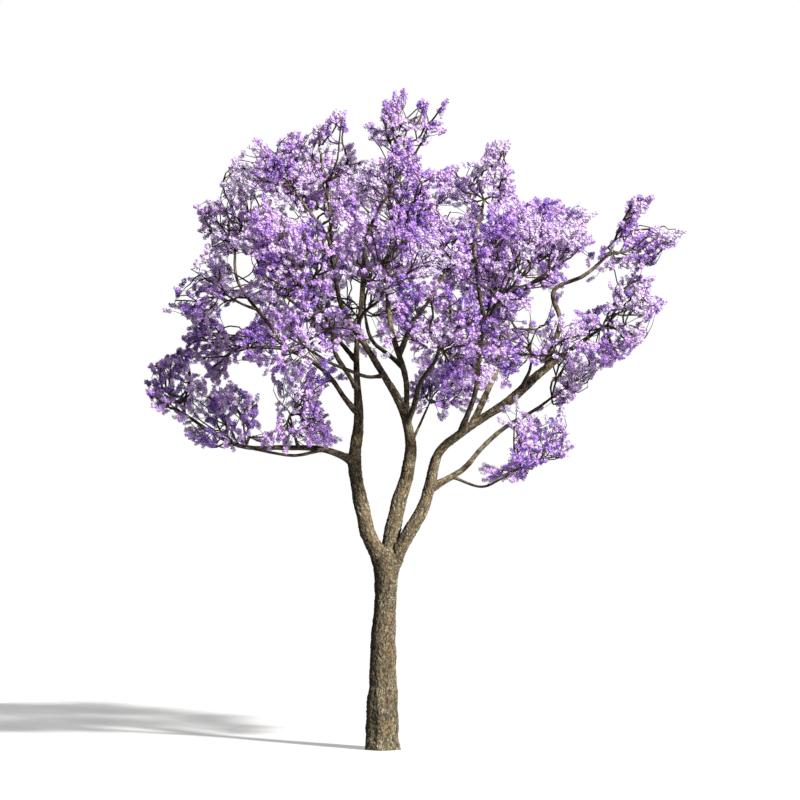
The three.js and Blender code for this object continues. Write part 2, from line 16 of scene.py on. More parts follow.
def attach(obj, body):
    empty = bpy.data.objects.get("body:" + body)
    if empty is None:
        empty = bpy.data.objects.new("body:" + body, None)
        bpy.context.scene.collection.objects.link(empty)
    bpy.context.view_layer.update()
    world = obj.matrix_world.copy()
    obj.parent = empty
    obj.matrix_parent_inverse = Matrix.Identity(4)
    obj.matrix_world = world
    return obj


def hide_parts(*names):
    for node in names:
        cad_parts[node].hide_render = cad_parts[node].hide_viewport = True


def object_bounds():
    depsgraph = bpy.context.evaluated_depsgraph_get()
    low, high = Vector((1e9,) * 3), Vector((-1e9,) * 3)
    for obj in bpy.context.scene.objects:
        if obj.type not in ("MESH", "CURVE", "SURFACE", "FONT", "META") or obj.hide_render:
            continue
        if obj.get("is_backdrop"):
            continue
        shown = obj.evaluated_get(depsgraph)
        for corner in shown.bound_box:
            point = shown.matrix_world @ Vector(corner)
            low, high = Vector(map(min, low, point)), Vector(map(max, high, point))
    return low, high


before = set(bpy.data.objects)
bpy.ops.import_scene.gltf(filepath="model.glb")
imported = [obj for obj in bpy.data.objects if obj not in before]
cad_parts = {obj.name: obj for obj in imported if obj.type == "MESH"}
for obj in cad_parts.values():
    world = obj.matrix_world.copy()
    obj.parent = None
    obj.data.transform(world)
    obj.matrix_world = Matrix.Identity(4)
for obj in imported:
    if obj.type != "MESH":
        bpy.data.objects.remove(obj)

bl_info = {
    "name": "Flowering Jacaranda",
    "version": (1, 0, 0),
    "blender": (4, 5, 0),
    "location": "View3D > Sidebar > Jacaranda",
    "description": "Grows bark, twigs and blossom on the limbs of a jacaranda tree",
    "category": "Object",
}

CAD_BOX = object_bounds()

FULL_TURN = 6.2832             # rounded as in the solids' source
ANY_DEPTH = 2                  # a limit that no point of a mass goes past

# The solids' own rule
CUT_CLEARANCE = 0.0003         # gap where two solids meet
RING_STEP = 0.42               # length of bough for each ring of the solids
WANDER = 0.10                  # sideways wander of a bough, in its own diameters
WANDER_WAVES = ((7, 0.3), (6, 0.26))  # its waves in x and in y: in diameters, and metres more
COLLAR = 0.30                  # swelling of a solid bough at its foot, share of its radius
COLLAR_END = 0.3               # share of that swelling left at the next ring
ROOT_LOBES = 5
ROOT_LOBE_DEPTH = 0.055
ROOT_LOBE_HEIGHT = 0.30
ROOT_LOBE_TURN = 0.7
STEM_RADII = 2.2               # length of a mass's stem in radii of its bough's tip,
STEM_MORE = 0.06               # and metres more
SPRAYS = 290                   # main twigs on the whole tree
SPRAY_LENGTH = 0.60
CORE = 0.62                    # share of a space that the main twigs spread through
BEST_OF = 10                   # candidates for the place of each main twig
MAIN_ROOM = 0.06               # room between such a place and the boughs
MAIN_SIZE, MAIN_CHECKS = 0.025, 6  # room along a main twig, and the spots checked on it
PATH_BALANCE = 0.35            # 0 gives the shortest twigs, 1 the most direct ones
SPACE_MARGIN = 0.045           # gap between neighbouring spaces, share of their radii
LIMB_CLEAR = 0.02
LIMB_NEAR = 3                  # boughs further than this from a mass's centre are let be
LIMB_SEED = 101
MASS_SEED = 501
MASS_SEED_STEP = 37

# The skin of the boughs
SKIN_SWELL = 1.05              # girth of the skin of a bough, beside its solid
SKIN_STEP = 0.045              # length of bough for each ring of its skin
TRUNK_RINGS, TRUNK_SIDES, ARM_SIDES = 92, 56, 24
BELOW_GROUND = 0.06            # the trunk's skin starts below the ground and is cut there
EASE_ROUNDS, EASE_SHARE = 6, 0.5
NEAR_SAMPLES = 8               # centreline samples that a point of the skin is tried against
SWELLINGS = ((0.09, 0.36), (0.04, 0.15))  # share of the radius, and size
RIDGES, RIDGE_WIDTH, RIDGE_LENGTH = 0.11, 0.11, 0.80
OLD_RADIUS, BARK_GROWTH = 0.15, 0.8  # the furrows deepen with the radius, up to this one
PLATE_WIDTH, PLATE_LENGTH, FURROW_WIDTH = 0.044, 0.095, 0.40
PLATE_BEND, ROUGH_SIZE, BROAD_SIZE = 0.03, 0.036, 0.16
SUNNY_SIDE = Vector((0.65, -0.48, 0.59))  # painted shade: bark that faces away from here is drawn darker, from a little before it turns away
PAINTED_SHADE_FROM = 0.15               # from a little before it turns away
COLLAR_SWELL = 0.75            # swelling of a bough's skin where it leaves its parent,
COLLAR_FROM = 0.8              # from where, in radii of the parent, it dies away,
COLLAR_RADII = 2.2             # how far it reaches, in radii of the bough
COLLAR_LIMIT = 0.92            # and its limit, a share of the parent's radius

# The finer twigs
FINE_SEED = 9001
CANDIDATES = 1500              # places tried for a fine twig, per cubic metre
FINE_SPACING = 0.116           # least distance between fine twigs in the outer crown
INNER_SPACING = 0.205          # and at the heart of a mass
OUTER_FROM = 0.7               # share of a mass's space at which the outer crown starts
FINE_LIMIT = 1.02              # share of a space that the fine twigs fill, on average
LUMPS = 0.30                   # how far lumps and hollows move that limit
FULLER_LIMIT = 0.5             # and how far a fuller place moves it
FINE_REACH = 1.4               # share of a space in which places for them are tried
FINE_MARGIN = 0.012
FINE_LONGEST = 0.42            # longest way from a fine twig's tip to the twig it leaves
FINE_ROOM = 0.012              # room between a fine twig's tip and the boughs
FINE_SIZE, FINE_CHECKS = 0.008, 3  # room along a fine twig, and the spots checked on it
FINE_INSET = 0.04              # how far fine twigs stay inside the solids' box
EDGE_STRAY = 0.10              # how far twigs stray over the edge of the sky
LARGE_CLUMPS, SMALL_CLUMPS, SMALL_SHARE = 0.46, 0.21, 0.62  # their sizes, and how the small weigh
THIN_FROM, THIN_SLOPE = 0.27, 0.26  # clumps below this are bare, less so towards the outside
TWIG_STEP = 0.14               # length between the bends of a main twig
TWIG_BEND, BEND_SPREAD, DOUBLE_BEND = 0.10, 0.12, 0.6  # how far it sways, beside its length
KINK_EASE = 0.38               # share of each kink that is eased
TWIG_SIDES = ((0.016, 6), (0.009, 4), (0, 3))  # a twig thicker than this has so many faces
TWIG_BELLY = 0.5               # how much thicker a twig is midway than its load asks
SUNK_STEM = 0.03               # how far a stem starts inside its bough
MIDDLE = 0.3                   # x that parts the left masses from the right ones
STEM_SHARE = 0.97              # girth of a stem, beside the tip of its bough
TWIG_FOOT, FOOT_LIMIT = 1.3, 0.6  # girth of a twig's foot, beside its own and its parent's
TWIG_END = 0.2                 # length of a bare twig's tip, in its last step
STALK_WIDTH = 0.8              # of a side stalk, share of the finest twig's

# The blossom
SHORTEST_PANICLE, PANICLE_SPREAD = 0.75, 0.5  # length of a panicle, in its usual length
PANICLE_OUT, PANICLE_ASKEW, PANICLE_UP = 0.55, 0.8, 0.22  # how far it turns out and up
SIDE_ALONG, SIDE_ASKEW, SIDE_LENGTH = 0.25, 2.2, 0.85  # these and the length, on side stalks
FLOWERS_FROM = 0.22            # share of a stalk at which its flowers start
FLOWER_ALONG, ALONG_SPREAD = 0.5, 0.4  # how far a flower leans along its stalk
END_OUT = 0.35                 # how far the flower at the end leans out, beside the others
FLOWER_DROOP = 0.12
SMALLEST_FLOWER, FLOWER_SPREAD = 0.80, 0.4  # size of a flower, in its usual size
HEART, INNER = 0.25, 0.50      # how far out blossom starts, on twigs' ends and along twigs
HEAVY = 60                     # a twig that carries more than this has no side stalks
PANICLE_MARGIN, MOUTH_MARGIN = -0.02, -0.04  # blossom may lean into a neighbour's space
BLOSSOM_INSET = -0.03          # and a little past the solids' box
BARE_WIDTH = 0.07              # blossom that would hide a bough from the front is thinned
BARE_SHARE = 0.72              # this far to its sides, and by this share
BARE_LOAD = 18                 # a twig that carries more than this shows like a bough,
BARE_TWIG_WIDTH = 0.05         # this far to its sides,
BARE_DEPTH = 0.6               # where no more than this depth of blossom hides it
BARE_TWIG = 14                 # a twig that carries this many others may show bare
LIMB_ROOM = 0.03               # room between flowers and boughs
TWIG_ROOM = 0.055              # and between flowers and the thicker twigs,
THICK_LOAD = 16                # which carry more than this
GOLDEN_ANGLE = 2.399963
FLOWER_LENGTH = 0.66           # from a flower's foot to its mouth, in its widths
LOBES = 5                      # of a flower's mouth, the two lower ones a little shorter
LOBE_REACH, LOWER_REACH = 0.50, 0.44
LOBE_POINTS = ((0.98, -0.37, 0.64), (1.16, 0, 0.72), (1.02, 0.37, 0.68))  # reach, turn, height
THIN_PETALS = 0.50             # share of the light that passes through a petal

# The stage
WHITE = (1.0, 1.0, 1.0)
SUN_TINT = (1.0, 0.97, 0.93)
FILL_TINT = (0.93, 0.95, 1.0)
FLOOR_GREY, FLOOR_GLOW = (0.23, 0.23, 0.23), 0.42
FLOOR_SIDES = 96
FLOOR_DROP = 0.002             # how far the floor lies under the trunk's cut
VIEW_END = 500

# How the limbs, twigs and blossom bend aside together
CROOKED = 0.028                # by how far
CROOKED_FROM = 4.6             # height from which they do, up to their full bend at the next
CROOKED_AT = 6.4
CROOKED_WAVES = 7
CROOKED_SHORTEST, CROOKED_SPREAD = 0.75, 1.1  # length of the waves
CROOKED_SEED = 71

# Windows where the photograph shows sky through the crown: x, z, half width, half height
SKY = (
    (-2.54, 6.88, 0.30, 0.16), (-2.07, 6.24, 0.14, 0.48), (-2.67, 7.93, 0.36, 0.34),
    (-2.58, 8.70, 0.28, 0.38), (-2.74, 8.94, 0.16, 0.13), (-2.42, 10.74, 0.15, 0.15),
    (-3.32, 6.91, 0.13, 0.08), (-1.12, 9.75, 0.20, 0.17), (-1.64, 9.76, 0.18, 0.16),
    (-2.23, 9.95, 0.14, 0.11), (0.05, 9.73, 0.13, 0.16), (-0.30, 9.79, 0.16, 0.11),
    (1.26, 9.80, 0.29, 0.17), (0.98, 10.10, 0.08, 0.20), (1.42, 10.44, 0.13, 0.11),
    (1.80, 10.00, 0.12, 0.11), (-0.86, 11.21, 0.12, 0.12), (-0.92, 10.86, 0.07, 0.11),
    (0.65, 11.15, 0.14, 0.12), (0.55, 11.72, 0.12, 0.20), (-0.27, 7.85, 0.17, 0.34),
    (-0.40, 8.18, 0.14, 0.42), (-0.56, 7.13, 0.15, 0.28), (-0.14, 7.42, 0.11, 0.16),
    (0.39, 7.00, 0.16, 0.44), (2.92, 8.10, 0.26, 0.42), (2.69, 8.66, 0.20, 0.17),
    (2.80, 7.44, 0.16, 0.14), (1.38, 8.31, 0.13, 0.16), (3.69, 8.26, 0.36, 0.24),
    (4.06, 8.34, 0.17, 0.21), (3.38, 8.00, 0.10, 0.22), (3.88, 7.46, 0.15, 0.11),
    (4.47, 7.84, 0.26, 0.11), (4.76, 9.60, 0.16, 0.13), (-0.72, 6.12, 0.24, 0.46),
    (-0.96, 6.40, 0.12, 0.16), (0.92, 6.10, 0.20, 0.12), (2.95, 6.62, 0.24, 0.40),
    (3.12, 6.84, 0.15, 0.22), (2.66, 6.80, 0.18, 0.28), (2.66, 6.28, 0.20, 0.16),
    (2.42, 6.74, 0.09, 0.12), (2.14, 5.66, 0.24, 0.28), (3.10, 6.16, 0.12, 0.10),
    (2.08, 5.27, 0.19, 0.12), (-2.42, 6.62, 0.16, 0.11), (2.52, 7.74, 0.12, 0.17),
)

# Places where the photograph's crown is fuller or, below 0, thinner than the rule
# makes it: x, z, radius and by how much
FULLNESS = (
    (-1.20, 5.80, 0.40, 0.6), (-1.80, 5.72, 0.36, 0.6), (-1.45, 6.35, 0.28, 0.3),
    (-3.35, 6.65, 0.34, 0.5), (-2.85, 6.20, 0.28, 0.5), (-2.36, 6.02, 0.22, 0.4),
    (1.30, 6.78, 0.34, 0.6), (1.75, 6.80, 0.32, 0.6), (2.20, 6.55, 0.30, 0.5),
    (2.20, 7.10, 0.24, 0.4), (3.75, 7.75, 0.28, 0.5), (3.85, 7.30, 0.28, 0.5),
    (4.15, 7.10, 0.26, 0.5), (3.46, 9.16, 0.30, 0.6), (3.90, 9.00, 0.28, 0.7),
    (3.75, 9.55, 0.28, 0.5), (2.30, 10.20, 0.34, 0.4), (3.35, 5.85, 0.28, 0.5),
    (4.70, 8.66, 0.32, 0.5), (0.72, 11.75, 0.22, 0.6), (1.12, 11.70, 0.20, 0.9),
    (-0.25, 11.30, 0.20, 0.6), (-0.70, 11.45, 0.26, 0.6), (-1.25, 11.20, 0.24, 0.6),
    (4.85, 10.05, 0.20, 0.5), (2.00, 4.98, 0.28, 1.0), (-2.62, 10.72, 0.24, 0.5),
    (-3.15, 9.88, 0.30, 0.5), (-3.35, 8.35, 0.60, -0.15), (-3.65, 7.15, 0.24, 0.5),
    (5.30, 9.30, 0.28, 0.6), (4.62, 7.40, 0.28, 0.5), (3.40, 6.70, 0.24, 0.5),
    (3.42, 6.38, 0.26, 0.6), (-4.15, 6.30, 0.26, 0.4), (5.10, 8.10, 0.20, 0.5),
    (2.45, 5.08, 0.28, 0.5), (-1.92, 5.60, 0.26, 0.6), (-3.08, 6.80, 0.22, 0.4),
    (2.30, 8.05, 0.24, 0.4), (4.46, 9.58, 0.24, 0.9),
)

# The crown's outline in the photograph: x, z
OUTLINE = (
    (-2.30, 5.38), (-2.95, 5.48), (-3.50, 5.53), (-3.62, 6.00), (-3.95, 6.08), (-4.18, 6.25),
    (-4.36, 6.60), (-4.30, 7.02), (-4.00, 7.10), (-3.70, 7.30), (-3.58, 7.60), (-3.32, 7.80),
    (-3.96, 7.95), (-3.92, 8.16), (-3.84, 8.32), (-3.64, 8.38), (-3.60, 8.64), (-3.40, 8.86),
    (-3.20, 9.20), (-3.36, 9.35), (-3.36, 9.88), (-2.90, 9.99), (-2.92, 10.40), (-2.70, 10.64),
    (-2.60, 10.94), (-2.20, 11.07), (-1.98, 10.97), (-1.72, 11.10), (-1.50, 11.28), (-1.32, 11.10),
    (-1.26, 11.38), (-1.02, 11.48), (-0.87, 11.64), (-0.60, 11.58), (-0.64, 11.30), (-0.82, 11.16),
    (-0.72, 11.02), (-0.50, 11.00), (-0.48, 10.76), (0.02, 10.72), (0.22, 10.98), (-0.08, 11.02),
    (-0.34, 11.32), (0.00, 11.32), (-0.12, 11.70), (0.20, 12.00), (0.46, 12.00), (0.52, 11.52),
    (0.64, 11.88), (0.84, 11.86), (0.84, 11.44), (1.04, 11.40), (1.10, 11.84), (1.24, 11.80),
    (1.12, 11.48), (1.22, 11.24), (0.94, 11.14), (0.62, 10.90), (0.72, 10.66), (0.74, 10.44),
    (1.30, 10.64), (1.62, 10.60), (1.86, 10.80), (1.86, 11.08), (2.12, 11.10), (2.38, 11.02),
    (2.16, 10.74), (2.40, 10.46), (2.44, 10.12), (2.54, 9.92), (2.84, 10.08), (3.20, 9.96),
    (3.58, 9.96), (3.78, 9.80), (3.84, 9.98), (4.02, 9.92), (3.88, 9.70), (3.64, 9.48),
    (3.78, 9.16), (3.58, 9.05), (3.34, 8.92), (3.30, 8.50), (3.60, 8.76), (3.76, 9.00),
    (4.05, 9.16), (4.28, 9.26), (4.22, 9.48), (4.46, 9.72), (4.50, 10.02), (4.72, 10.10),
    (4.94, 10.10), (4.84, 9.84), (4.86, 9.48), (5.12, 9.48), (5.46, 9.42), (5.40, 9.18),
    (5.06, 9.07), (5.02, 8.84), (4.74, 8.72), (4.40, 8.78), (4.04, 8.64), (4.30, 8.40),
    (4.34, 8.62), (4.94, 8.62), (4.86, 8.24), (5.14, 8.16), (5.10, 7.96), (4.94, 7.98),
    (4.80, 7.54), (4.54, 7.22), (4.30, 7.06), (4.02, 6.88), (3.74, 6.62), (3.54, 6.44),
    (3.22, 6.14), (3.34, 5.84), (3.52, 5.50), (3.32, 5.26), (2.98, 5.20), (2.55, 4.92),
    (1.95, 4.72), (1.30, 4.82), (0.60, 5.40), (-1.50, 5.34),
)

# Trunk: height, x, y, diameter
TRUNK = (
    (0.00, 0.000, 0.00, 0.640), (0.12, 0.000, 0.00, 0.605), (0.30, 0.002, 0.00, 0.580),
    (0.54, 0.004, 0.00, 0.565), (0.85, 0.010, 0.00, 0.535), (1.12, 0.018, 0.00, 0.510),
    (1.58, 0.014, 0.00, 0.475), (2.05, 0.022, 0.00, 0.437), (2.51, 0.060, 0.00, 0.402),
    (2.86, 0.078, 0.00, 0.398), (3.12, 0.084, 0.00, 0.430), (3.32, 0.090, 0.00, 0.470),
    (3.50, 0.100, 0.00, 0.440), (3.64, 0.110, 0.01, 0.300),
)

# The three arms of the fork: x, y, z, diameter
FORK = {
    "left_limb": ((0.07, 0, 3.16, 0.300), (-0.085, -0.015, 3.60, 0.285), (-0.27, -0.03, 3.95, 0.275)),
    "middle_limb": ((0.10, 0.02, 3.16, 0.300), (0.13, 0.05, 3.62, 0.295), (0.205, 0.10, 4.06, 0.285)),
    "right_limb": ((0.12, 0, 3.16, 0.280), (0.33, -0.03, 3.62, 0.262), (0.52, -0.06, 4.00, 0.248)),
}

# Boughs: name, parent, path of x, y, z and diameter; then the mass on the bough's tip:
# its centre, its radii and, where it isn't straight on, the direction of its furthest tip
LIMBS = (
    ("left_limb", "trunk",
     ((-0.27, -0.03, 3.95, 0.275), (-0.41, -0.05, 4.62, 0.248), (-0.51, -0.07, 5.32, 0.208),
      (-0.40, -0.02, 6.10, 0.155), (-0.42, 0.10, 7.40, 0.110), (-0.20, 0.05, 9.30, 0.072),
      (0.34, 0.00, 10.45, 0.050)),
     "crest_mass", (0.48, 0.00, 11.28), (0.86, 1.00, 0.72), (-0.08, 0, 1)),
    ("middle_limb", "trunk",
     ((0.205, 0.10, 4.06, 0.285), (0.31, 0.14, 4.50, 0.258), (0.48, 0.16, 5.05, 0.230),
      (0.53, 0.10, 5.75, 0.185), (0.10, -0.12, 6.75, 0.125), (-0.58, -0.30, 7.80, 0.100),
      (-0.90, -0.10, 8.90, 0.078), (-0.98, 0.05, 10.25, 0.048)),
     "upper_left_mass", (-0.90, 0.10, 10.98), (0.56, 0.72, 0.70), (0.45, 0, 1)),
    ("right_limb", "trunk",
     ((0.52, -0.06, 4.00, 0.248), (0.74, -0.09, 4.38, 0.224), (0.88, -0.12, 4.80, 0.198),
      (1.05, -0.15, 5.40, 0.158), (1.45, -0.18, 5.77, 0.165), (2.20, -0.20, 6.20, 0.148),
      (2.80, -0.15, 6.82, 0.115), (3.40, -0.10, 7.26, 0.080), (3.88, -0.10, 7.60, 0.058)),
     "outer_right_mass", (4.52, -0.15, 7.95), (0.72, 1.15, 0.84), (1, 0, 0.1)),
    ("low_left_bough", "left_limb",
     ((-0.50, -0.08, 5.24, 0.115), (-1.05, -0.12, 5.44, 0.098), (-1.80, -0.10, 5.48, 0.086),
      (-2.60, 0.00, 5.52, 0.074), (-3.48, 0.05, 6.04, 0.052)),
     "far_left_mass", (-3.88, 0.10, 6.72), (0.50, 0.90, 0.64), (-1, 0, 0.1)),
    ("under_left_bough", "low_left_bough",
     ((-1.05, -0.12, 5.44, 0.060), (-1.60, -0.46, 5.36, 0.052), (-2.34, -0.70, 5.46, 0.042)),
     "low_left_mass", (-2.82, -0.80, 6.00), (0.84, 0.74, 0.60), None),
    ("hanging_left_bough", "low_left_bough",
     ((-1.50, -0.10, 5.47, 0.056), (-1.58, -0.32, 5.72, 0.048), (-1.64, -0.48, 5.96, 0.042)),
     "hanging_left_mass", (-1.38, -0.72, 6.34), (0.66, 0.68, 0.74), None),
    ("left_bough", "left_limb",
     ((-0.40, -0.02, 6.10, 0.098), (-1.05, -0.20, 6.85, 0.084), (-1.67, -0.15, 7.20, 0.072),
      (-2.30, 0.05, 7.30, 0.052)),
     "left_mass", (-2.86, 0.35, 7.50), (0.82, 1.25, 0.58), None),
    ("left_upper_bough", "left_bough",
     ((-1.62, -0.15, 7.18, 0.068), (-2.15, -0.25, 7.85, 0.060), (-2.60, -0.10, 8.45, 0.054),
      (-2.66, 0.05, 9.05, 0.044)),
     "upper_outer_left_mass", (-2.72, 0.20, 9.82), (0.68, 1.20, 0.82), None),
    ("outer_left_bough", "left_upper_bough",
     ((-2.28, -0.22, 8.02, 0.048), (-2.46, -0.42, 8.10, 0.044), (-2.78, -0.56, 8.27, 0.038)),
     "outer_left_mass", (-3.26, -0.70, 8.36), (0.70, 1.00, 0.62), None),
    ("left_front_bough", "left_limb",
     ((-0.40, 0.02, 6.60, 0.090), (-0.73, -0.50, 6.98, 0.078), (-0.95, -1.10, 7.70, 0.064),
      (-1.15, -1.50, 8.20, 0.048)),
     "left_front_mass", (-1.50, -1.95, 8.88), (1.00, 1.00, 0.88), None),
    ("top_left_bough", "middle_limb",
     ((-0.91, -0.07, 9.10, 0.056), (-1.14, -0.16, 9.55, 0.050), (-1.54, -0.20, 10.12, 0.040)),
     "top_left_mass", (-1.84, -0.40, 10.60), (0.76, 1.15, 0.70), (-0.2, 0, 1)),
    ("back_left_bough", "left_limb",
     ((-0.42, 0.08, 7.10, 0.086), (-0.85, 0.72, 7.52, 0.074), (-1.45, 1.40, 8.00, 0.060),
      (-1.78, 1.80, 8.28, 0.048)),
     "back_left_mass", (-2.20, 2.35, 8.62), (1.05, 1.10, 0.98), None),
    ("centre_bough", "left_limb",
     ((-0.30, 0.08, 8.45, 0.064), (0.05, -0.38, 8.82, 0.056), (0.34, -0.82, 9.20, 0.046)),
     "centre_top_mass", (0.40, -1.22, 9.86), (0.98, 0.98, 0.86), None),
    ("inner_back_bough", "middle_limb",
     ((0.54, 0.12, 5.80, 0.120), (0.40, 0.36, 6.60, 0.102), (0.20, 0.62, 7.40, 0.088),
      (0.10, 0.90, 8.30, 0.070), (0.14, 1.16, 9.00, 0.052)),
     "back_top_mass", (0.22, 1.48, 9.94), (1.08, 1.08, 0.96), None),
    ("right_inner_bough", "inner_back_bough",
     ((0.26, 0.55, 7.15, 0.078), (0.54, 0.36, 7.72, 0.068), (0.95, 0.28, 8.20, 0.058),
      (1.22, 0.32, 8.66, 0.046)),
     "right_inner_mass", (1.42, 0.42, 9.34), (0.90, 0.95, 0.82), None),
    ("front_centre_bough", "middle_limb",
     ((0.50, 0.06, 5.95, 0.092), (0.70, -0.50, 6.45, 0.076), (0.90, -1.16, 6.98, 0.062),
      (1.00, -1.58, 7.22, 0.048)),
     "front_centre_mass", (1.06, -2.15, 7.74), (0.98, 0.98, 0.76), None),
    ("under_centre_bough", "middle_limb",
     ((0.53, 0.14, 5.52, 0.054), (0.74, 0.30, 5.92, 0.044), (0.88, 0.36, 6.20, 0.036)),
     "under_centre_mass", (1.10, 0.42, 6.56), (0.66, 0.62, 0.46), None),
    ("left_centre_bough", "middle_limb",
     ((0.08, -0.13, 6.80, 0.076), (-0.45, -0.58, 6.82, 0.066), (-1.00, -1.18, 7.08, 0.056),
      (-1.24, -1.52, 7.24, 0.046)),
     "front_left_mass", (-1.38, -2.08, 7.52), (0.98, 0.94, 0.68), None),
    ("back_bough", "inner_back_bough",
     ((0.32, 0.46, 6.95, 0.086), (0.02, 1.20, 7.28, 0.074), (-0.26, 1.98, 7.60, 0.060),
      (-0.36, 2.46, 7.88, 0.048)),
     "back_mass", (-0.36, 3.05, 8.40), (1.10, 1.05, 1.00), None),
    ("lower_right_bough", "right_limb",
     ((0.84, -0.12, 4.74, 0.118), (1.44, -0.04, 5.07, 0.100), (1.80, 0.10, 5.47, 0.088),
      (2.36, 0.22, 5.98, 0.074), (2.98, 0.26, 6.36, 0.050)),
     "lower_right_mass", (3.36, 0.40, 6.72), (0.66, 1.00, 0.54), None),
    ("hanging_right_bough", "lower_right_bough",
     ((1.26, -0.07, 4.97, 0.052), (1.78, -0.32, 4.78, 0.046), (2.14, -0.45, 4.92, 0.040),
      (2.42, -0.50, 5.08, 0.034)),
     "hanging_right_mass", (2.88, -0.55, 5.52), (0.72, 0.85, 0.64), None),
    ("right_rising_bough", "right_limb",
     ((1.42, -0.18, 5.75, 0.122), (1.62, -0.42, 6.50, 0.110), (1.72, -0.50, 7.20, 0.098),
      (1.90, -0.32, 7.92, 0.082), (2.36, -0.05, 8.45, 0.066), (2.66, 0.10, 8.76, 0.052)),
     "upper_right_mass", (2.98, 0.30, 9.42), (0.84, 1.30, 0.78), None),
    ("right_back_bough", "right_limb",
     ((1.62, -0.19, 5.86, 0.110), (1.86, 0.32, 6.36, 0.094), (2.02, 0.92, 6.90, 0.078),
      (2.10, 1.50, 7.32, 0.062), (2.14, 1.88, 7.60, 0.050)),
     "back_right_mass", (2.20, 2.50, 8.12), (1.04, 1.10, 0.96), None),
    ("upper_right_bough", "right_rising_bough",
     ((1.84, -0.38, 7.75, 0.068), (1.72, -0.56, 8.60, 0.060), (1.68, -0.46, 9.30, 0.054),
      (1.82, -0.22, 9.92, 0.044)),
     "top_right_mass", (1.74, -0.10, 10.44), (0.88, 1.15, 0.74), (0.65, 0, 1)),
    ("right_fork_bough", "right_limb",
     ((2.98, -0.13, 6.96, 0.086), (3.26, 0.02, 7.72, 0.076), (3.17, 0.05, 8.32, 0.068),
      (3.64, 0.10, 8.62, 0.058), (4.10, 0.10, 8.98, 0.046)),
     "far_right_mass", (4.72, 0.15, 9.40), (0.74, 1.05, 0.76), (1, 0, -0.05)),
    ("low_front_right_bough", "right_limb",
     ((2.55, -0.17, 6.55, 0.058), (2.66, -0.50, 6.86, 0.050), (2.64, -0.78, 7.12, 0.042)),
     "low_front_right_mass", (2.68, -1.10, 7.46), (0.86, 0.78, 0.54), None),
    ("front_right_bough", "right_rising_bough",
     ((1.70, -0.49, 7.05, 0.074), (1.92, -0.98, 7.66, 0.062), (2.08, -1.40, 8.08, 0.050)),
     "front_right_mass", (2.30, -1.90, 8.74), (1.00, 1.00, 0.86), None),
    ("front_bough", "middle_limb",
     ((-0.40, -0.26, 7.55, 0.066), (-0.28, -0.92, 7.92, 0.056), (-0.10, -1.52, 8.18, 0.048),
      (0.00, -1.82, 8.30, 0.042)),
     "front_mass", (0.16, -2.42, 8.82), (0.86, 0.88, 0.78), None),
    ("back_upper_bough", "middle_limb",
     ((-0.88, -0.12, 8.80, 0.060), (-1.02, 0.42, 9.16, 0.052), (-1.12, 0.80, 9.42, 0.044)),
     "back_upper_mass", (-1.08, 1.22, 10.06), (1.05, 1.02, 0.90), None),
)
CAD_LOW, CAD_HIGH = (np.array(corner) for corner in CAD_BOX)
CENTRES = np.array([limb[4] for limb in LIMBS])
RADII = np.array([limb[5] for limb in LIMBS])

# Blossom tones from the shaded violet to the palest lilac. A spray's lightness, in steps
# of its own from about 0 to 4, is counted from these parts
TONES = ("deep", "violet", "mauve", "lilac", "pale")
TONE_STEPS = (1.08, 1.82, 2.45, 3.09)
TONE_MIDDLE = 2.14             # at the middle height and depth
# painted light and shade: sprays are dealt lighter tones higher in the crown and darker ones deep
# inside a mass
PAINTED_LIGHT_HEIGHT, MIDDLE_HEIGHT = 0.12, 8.2
PAINTED_SHADE_DEPTH, MIDDLE_DEPTH = 1.0, 0.75
TONE_PATCH, PATCH_SIZE = 3.0, 0.70
TONE_CHANCE = 1.3


def metres(name, description, default, low, high):
    """A property for a length in metres."""
    return FloatProperty(
        name=name, description=description, default=default, min=low, max=high,
        subtype="DISTANCE", unit="LENGTH")


def degrees(name, description, default):
    """A property for an angle."""
    return FloatProperty(
        name=name, description=description, default=math.radians(default),
        subtype="ANGLE", unit="ROTATION")


def tint(name, description, *default):
    """A property for a colour."""
    return FloatVectorProperty(
        name=name, description=description, default=default, min=0, max=1, size=3,
        subtype="COLOR")


class JacarandaSizes(bpy.types.PropertyGroup):
    """Sizes of the bark, twigs and blossom"""

    skin_voxel: metres("Bark fineness", "Size of the faces of the trunk's skin", 0.0149, 0.008, 0.05)
    bark_depth: metres("Bark depth", "Depth of the furrows at the foot of the trunk", 0.012, 0, 0.03)
    bough_sides: IntProperty(
        name="Bough sides", description="Faces round a bough", default=14, min=6, max=32)
    twig_tip: metres("Twig tip", "Diameter of the finest twigs", 0.010, 0.003, 0.02)
    panicle: metres("Panicle length", "Length of the stalk of a spray of blossom", 0.17, 0.05, 0.4)
    flower: metres("Flower width", "Width of a flower's open mouth", 0.053, 0.03, 0.12)
    flowers: IntProperty(
        name="Flowers", description="Flowers on each panicle", default=12, min=1, max=20)


class JacarandaColours(bpy.types.PropertyGroup):
    """Colours of the bark and blossom"""

    # the furrow colour: darker bark deep in the furrows, and painted shade there
    bark_dark: tint("Bark furrows", "Colour deep in the bark", 0.022, 0.016, 0.011)
    bark_middle: tint("Bark", "Main colour of the trunk's bark", 0.089, 0.071, 0.036)
    bark_light: tint("Bark crests", "Weathered crests of the bark", 0.348, 0.312, 0.209)
    bark_warm: tint("Warm bark", "Ochre patches of the bark", 0.174, 0.105, 0.049)
    bark_young: tint("Young bark", "Colour of the thin boughs", 0.089, 0.070, 0.047)
    deep: tint("Deep blossom", "Darkest tone of the blossom", 0.235, 0.122, 0.480)
    violet: tint("Violet blossom", "Dark violet tone of the blossom", 0.430, 0.242, 0.655)
    mauve: tint("Mauve blossom", "Middle tone of the blossom", 0.590, 0.390, 0.735)
    lilac: tint("Lilac blossom", "Light tone of the blossom", 0.660, 0.508, 0.768)
    pale: tint("Pale blossom", "Lightest tone of the blossom", 0.670, 0.585, 0.760)


